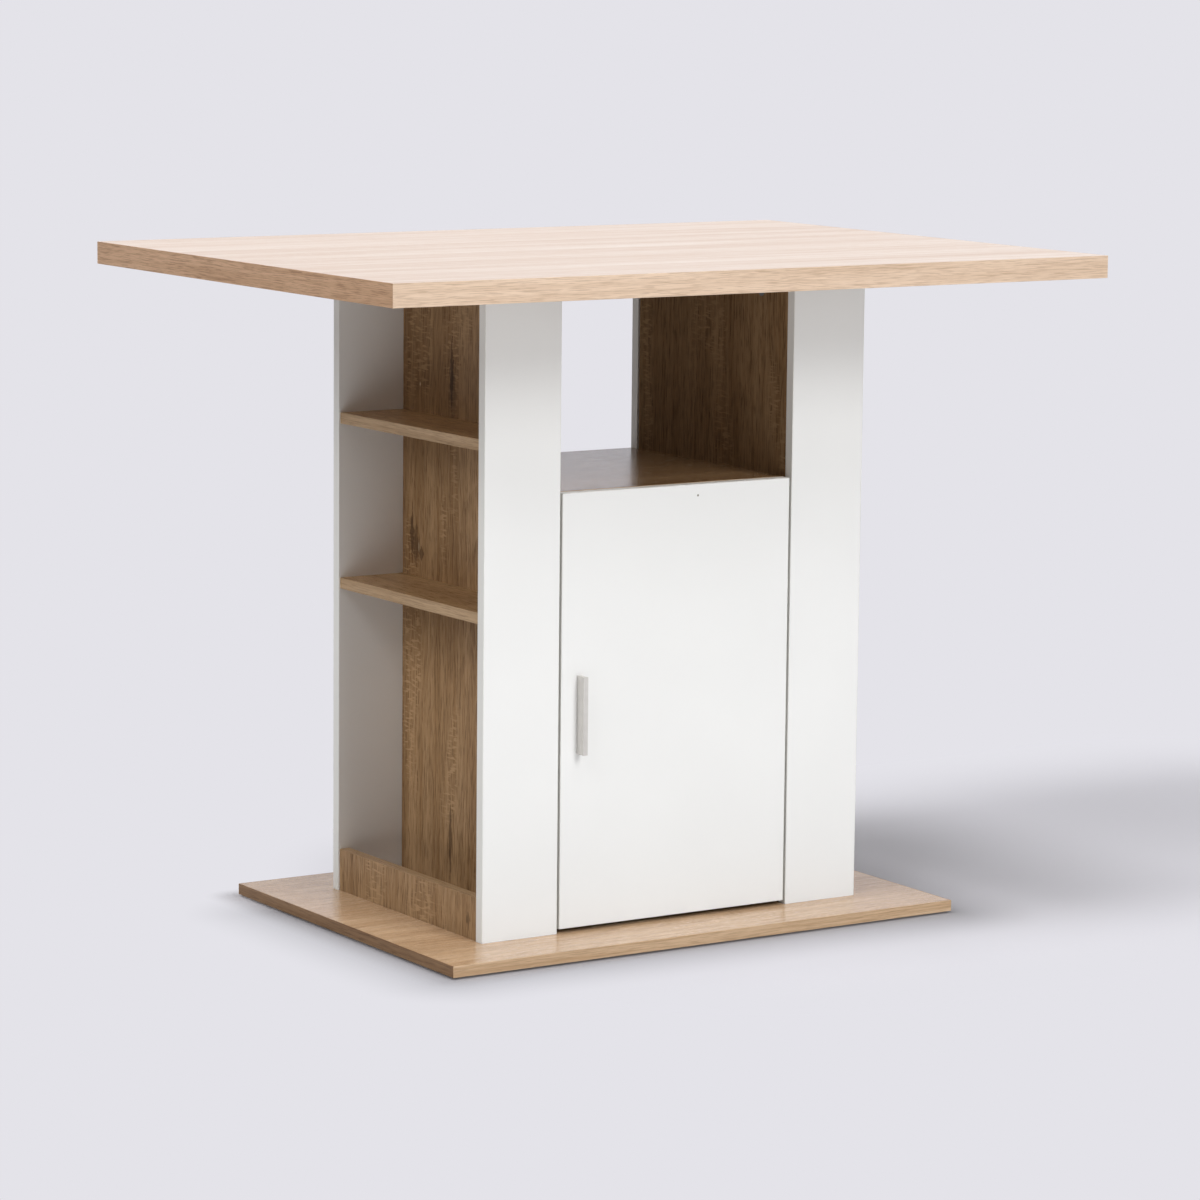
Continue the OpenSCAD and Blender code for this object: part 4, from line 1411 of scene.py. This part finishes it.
def add_lamp(name, strength, azimuth, elevation, size):
    """A far lamp as a sun: a strength of 1 lights a face square to it as its colour is written.

    Gloss shows only the backdrop, so that no lamp glares on the boards from any side.
    """
    azimuth, elevation = math.radians(azimuth), math.radians(elevation)
    towards = Vector((
        math.sin(azimuth) * math.cos(elevation),
        -math.cos(azimuth) * math.cos(elevation),
        math.sin(elevation),
    ))
    lamp = bpy.data.lights.new(name, "SUN")
    lamp.energy = math.pi * strength
    lamp.angle = math.radians(size)
    holder = add_object(name, lamp)
    holder.visible_glossy = False
    holder.rotation_mode = "QUATERNION"
    holder.rotation_quaternion = towards.to_track_quat("Z", "Y")


def set_world(settings):
    """The backdrop's colour all round, for the camera and reflections only."""
    world = bpy.data.worlds.new("Studio")
    world.use_nodes = True
    tree = world.node_tree
    tree.nodes.clear()
    values = {"Color": rgba(settings.backdrop), "Strength": seen_directly(tree)}
    shown = place(tree, "ShaderNodeBackground", values).outputs[0]
    tree.links.new(shown, tree.nodes.new("ShaderNodeOutputWorld").inputs["Surface"])
    bpy.context.scene.world = world


def add_camera(settings):
    """The photograph's viewpoint: turned by heading about Z, tipped by the dip, then rolled."""
    data = bpy.data.cameras.new("camera")
    data.sensor_width = SENSOR_WIDTH
    data.lens = settings.lens
    data.clip_end = SIGHT_END
    camera = add_object("camera", data)
    turn = (
        Matrix.Rotation(-settings.heading, 4, "Z")
        @ Matrix.Rotation(math.pi / 2 - settings.dip, 4, "X")
        @ Matrix.Rotation(settings.roll, 4, "Z")
    )
    camera.matrix_world = Matrix.Translation(settings.camera_place) @ turn
    bpy.context.scene.camera = camera


class ISLAND_OT_stage(Operator):
    """Set the camera, the floor, the lamps and the world"""

    bl_idname = "island.stage"
    bl_label = "Stage"

    def execute(self, context):
        settings = context.scene.island_stage
        context.scene.view_settings.view_transform = "Standard"
        add_camera(settings)
        add_floor(settings)
        set_world(settings)
        for name, setting, azimuth, elevation, size in LAMPS:
            add_lamp(name, getattr(settings, setting), azimuth, elevation, size)
        return {"FINISHED"}


OPERATORS = (
    ISLAND_OT_stage,
    ISLAND_OT_worktop,
    ISLAND_OT_base,
    ISLAND_OT_uprights,
    ISLAND_OT_side_panels,
    ISLAND_OT_niches,
    ISLAND_OT_cabinet,
    ISLAND_OT_door,
    ISLAND_OT_handle,
    ISLAND_OT_hinges,
    ISLAND_OT_fasteners,
)


class ISLAND_PT_sidebar(Panel):
    """Settings and steps of the kitchen island"""

    bl_idname = "ISLAND_PT_sidebar"
    bl_label = "Kitchen Island"
    bl_space_type = "VIEW_3D"
    bl_region_type = "UI"
    bl_category = "Island"

    def draw(self, context):
        for operator in OPERATORS:
            self.layout.operator(operator.bl_idname)
        for name in SETTINGS:
            group = getattr(context.scene, name)
            box = self.layout.box()
            for key in group.bl_rna.properties.keys():
                if key not in {"rna_type", "name"}:
                    box.prop(group, key)


def register():
    for name, group in SETTINGS.items():
        bpy.utils.register_class(group)
        setattr(bpy.types.Scene, name, PointerProperty(type=group))
    for operator in OPERATORS:
        bpy.utils.register_class(operator)
    bpy.utils.register_class(ISLAND_PT_sidebar)


def unregister():
    bpy.utils.unregister_class(ISLAND_PT_sidebar)
    for operator in reversed(OPERATORS):
        bpy.utils.unregister_class(operator)
    for name, group in reversed(SETTINGS.items()):
        delattr(bpy.types.Scene, name)
        bpy.utils.unregister_class(group)


def main():
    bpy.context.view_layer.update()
    register()
    for operator in OPERATORS:
        category, step = operator.bl_idname.split(".")
        getattr(getattr(bpy.ops, category), step)()


if __name__ == "__main__":
    main()
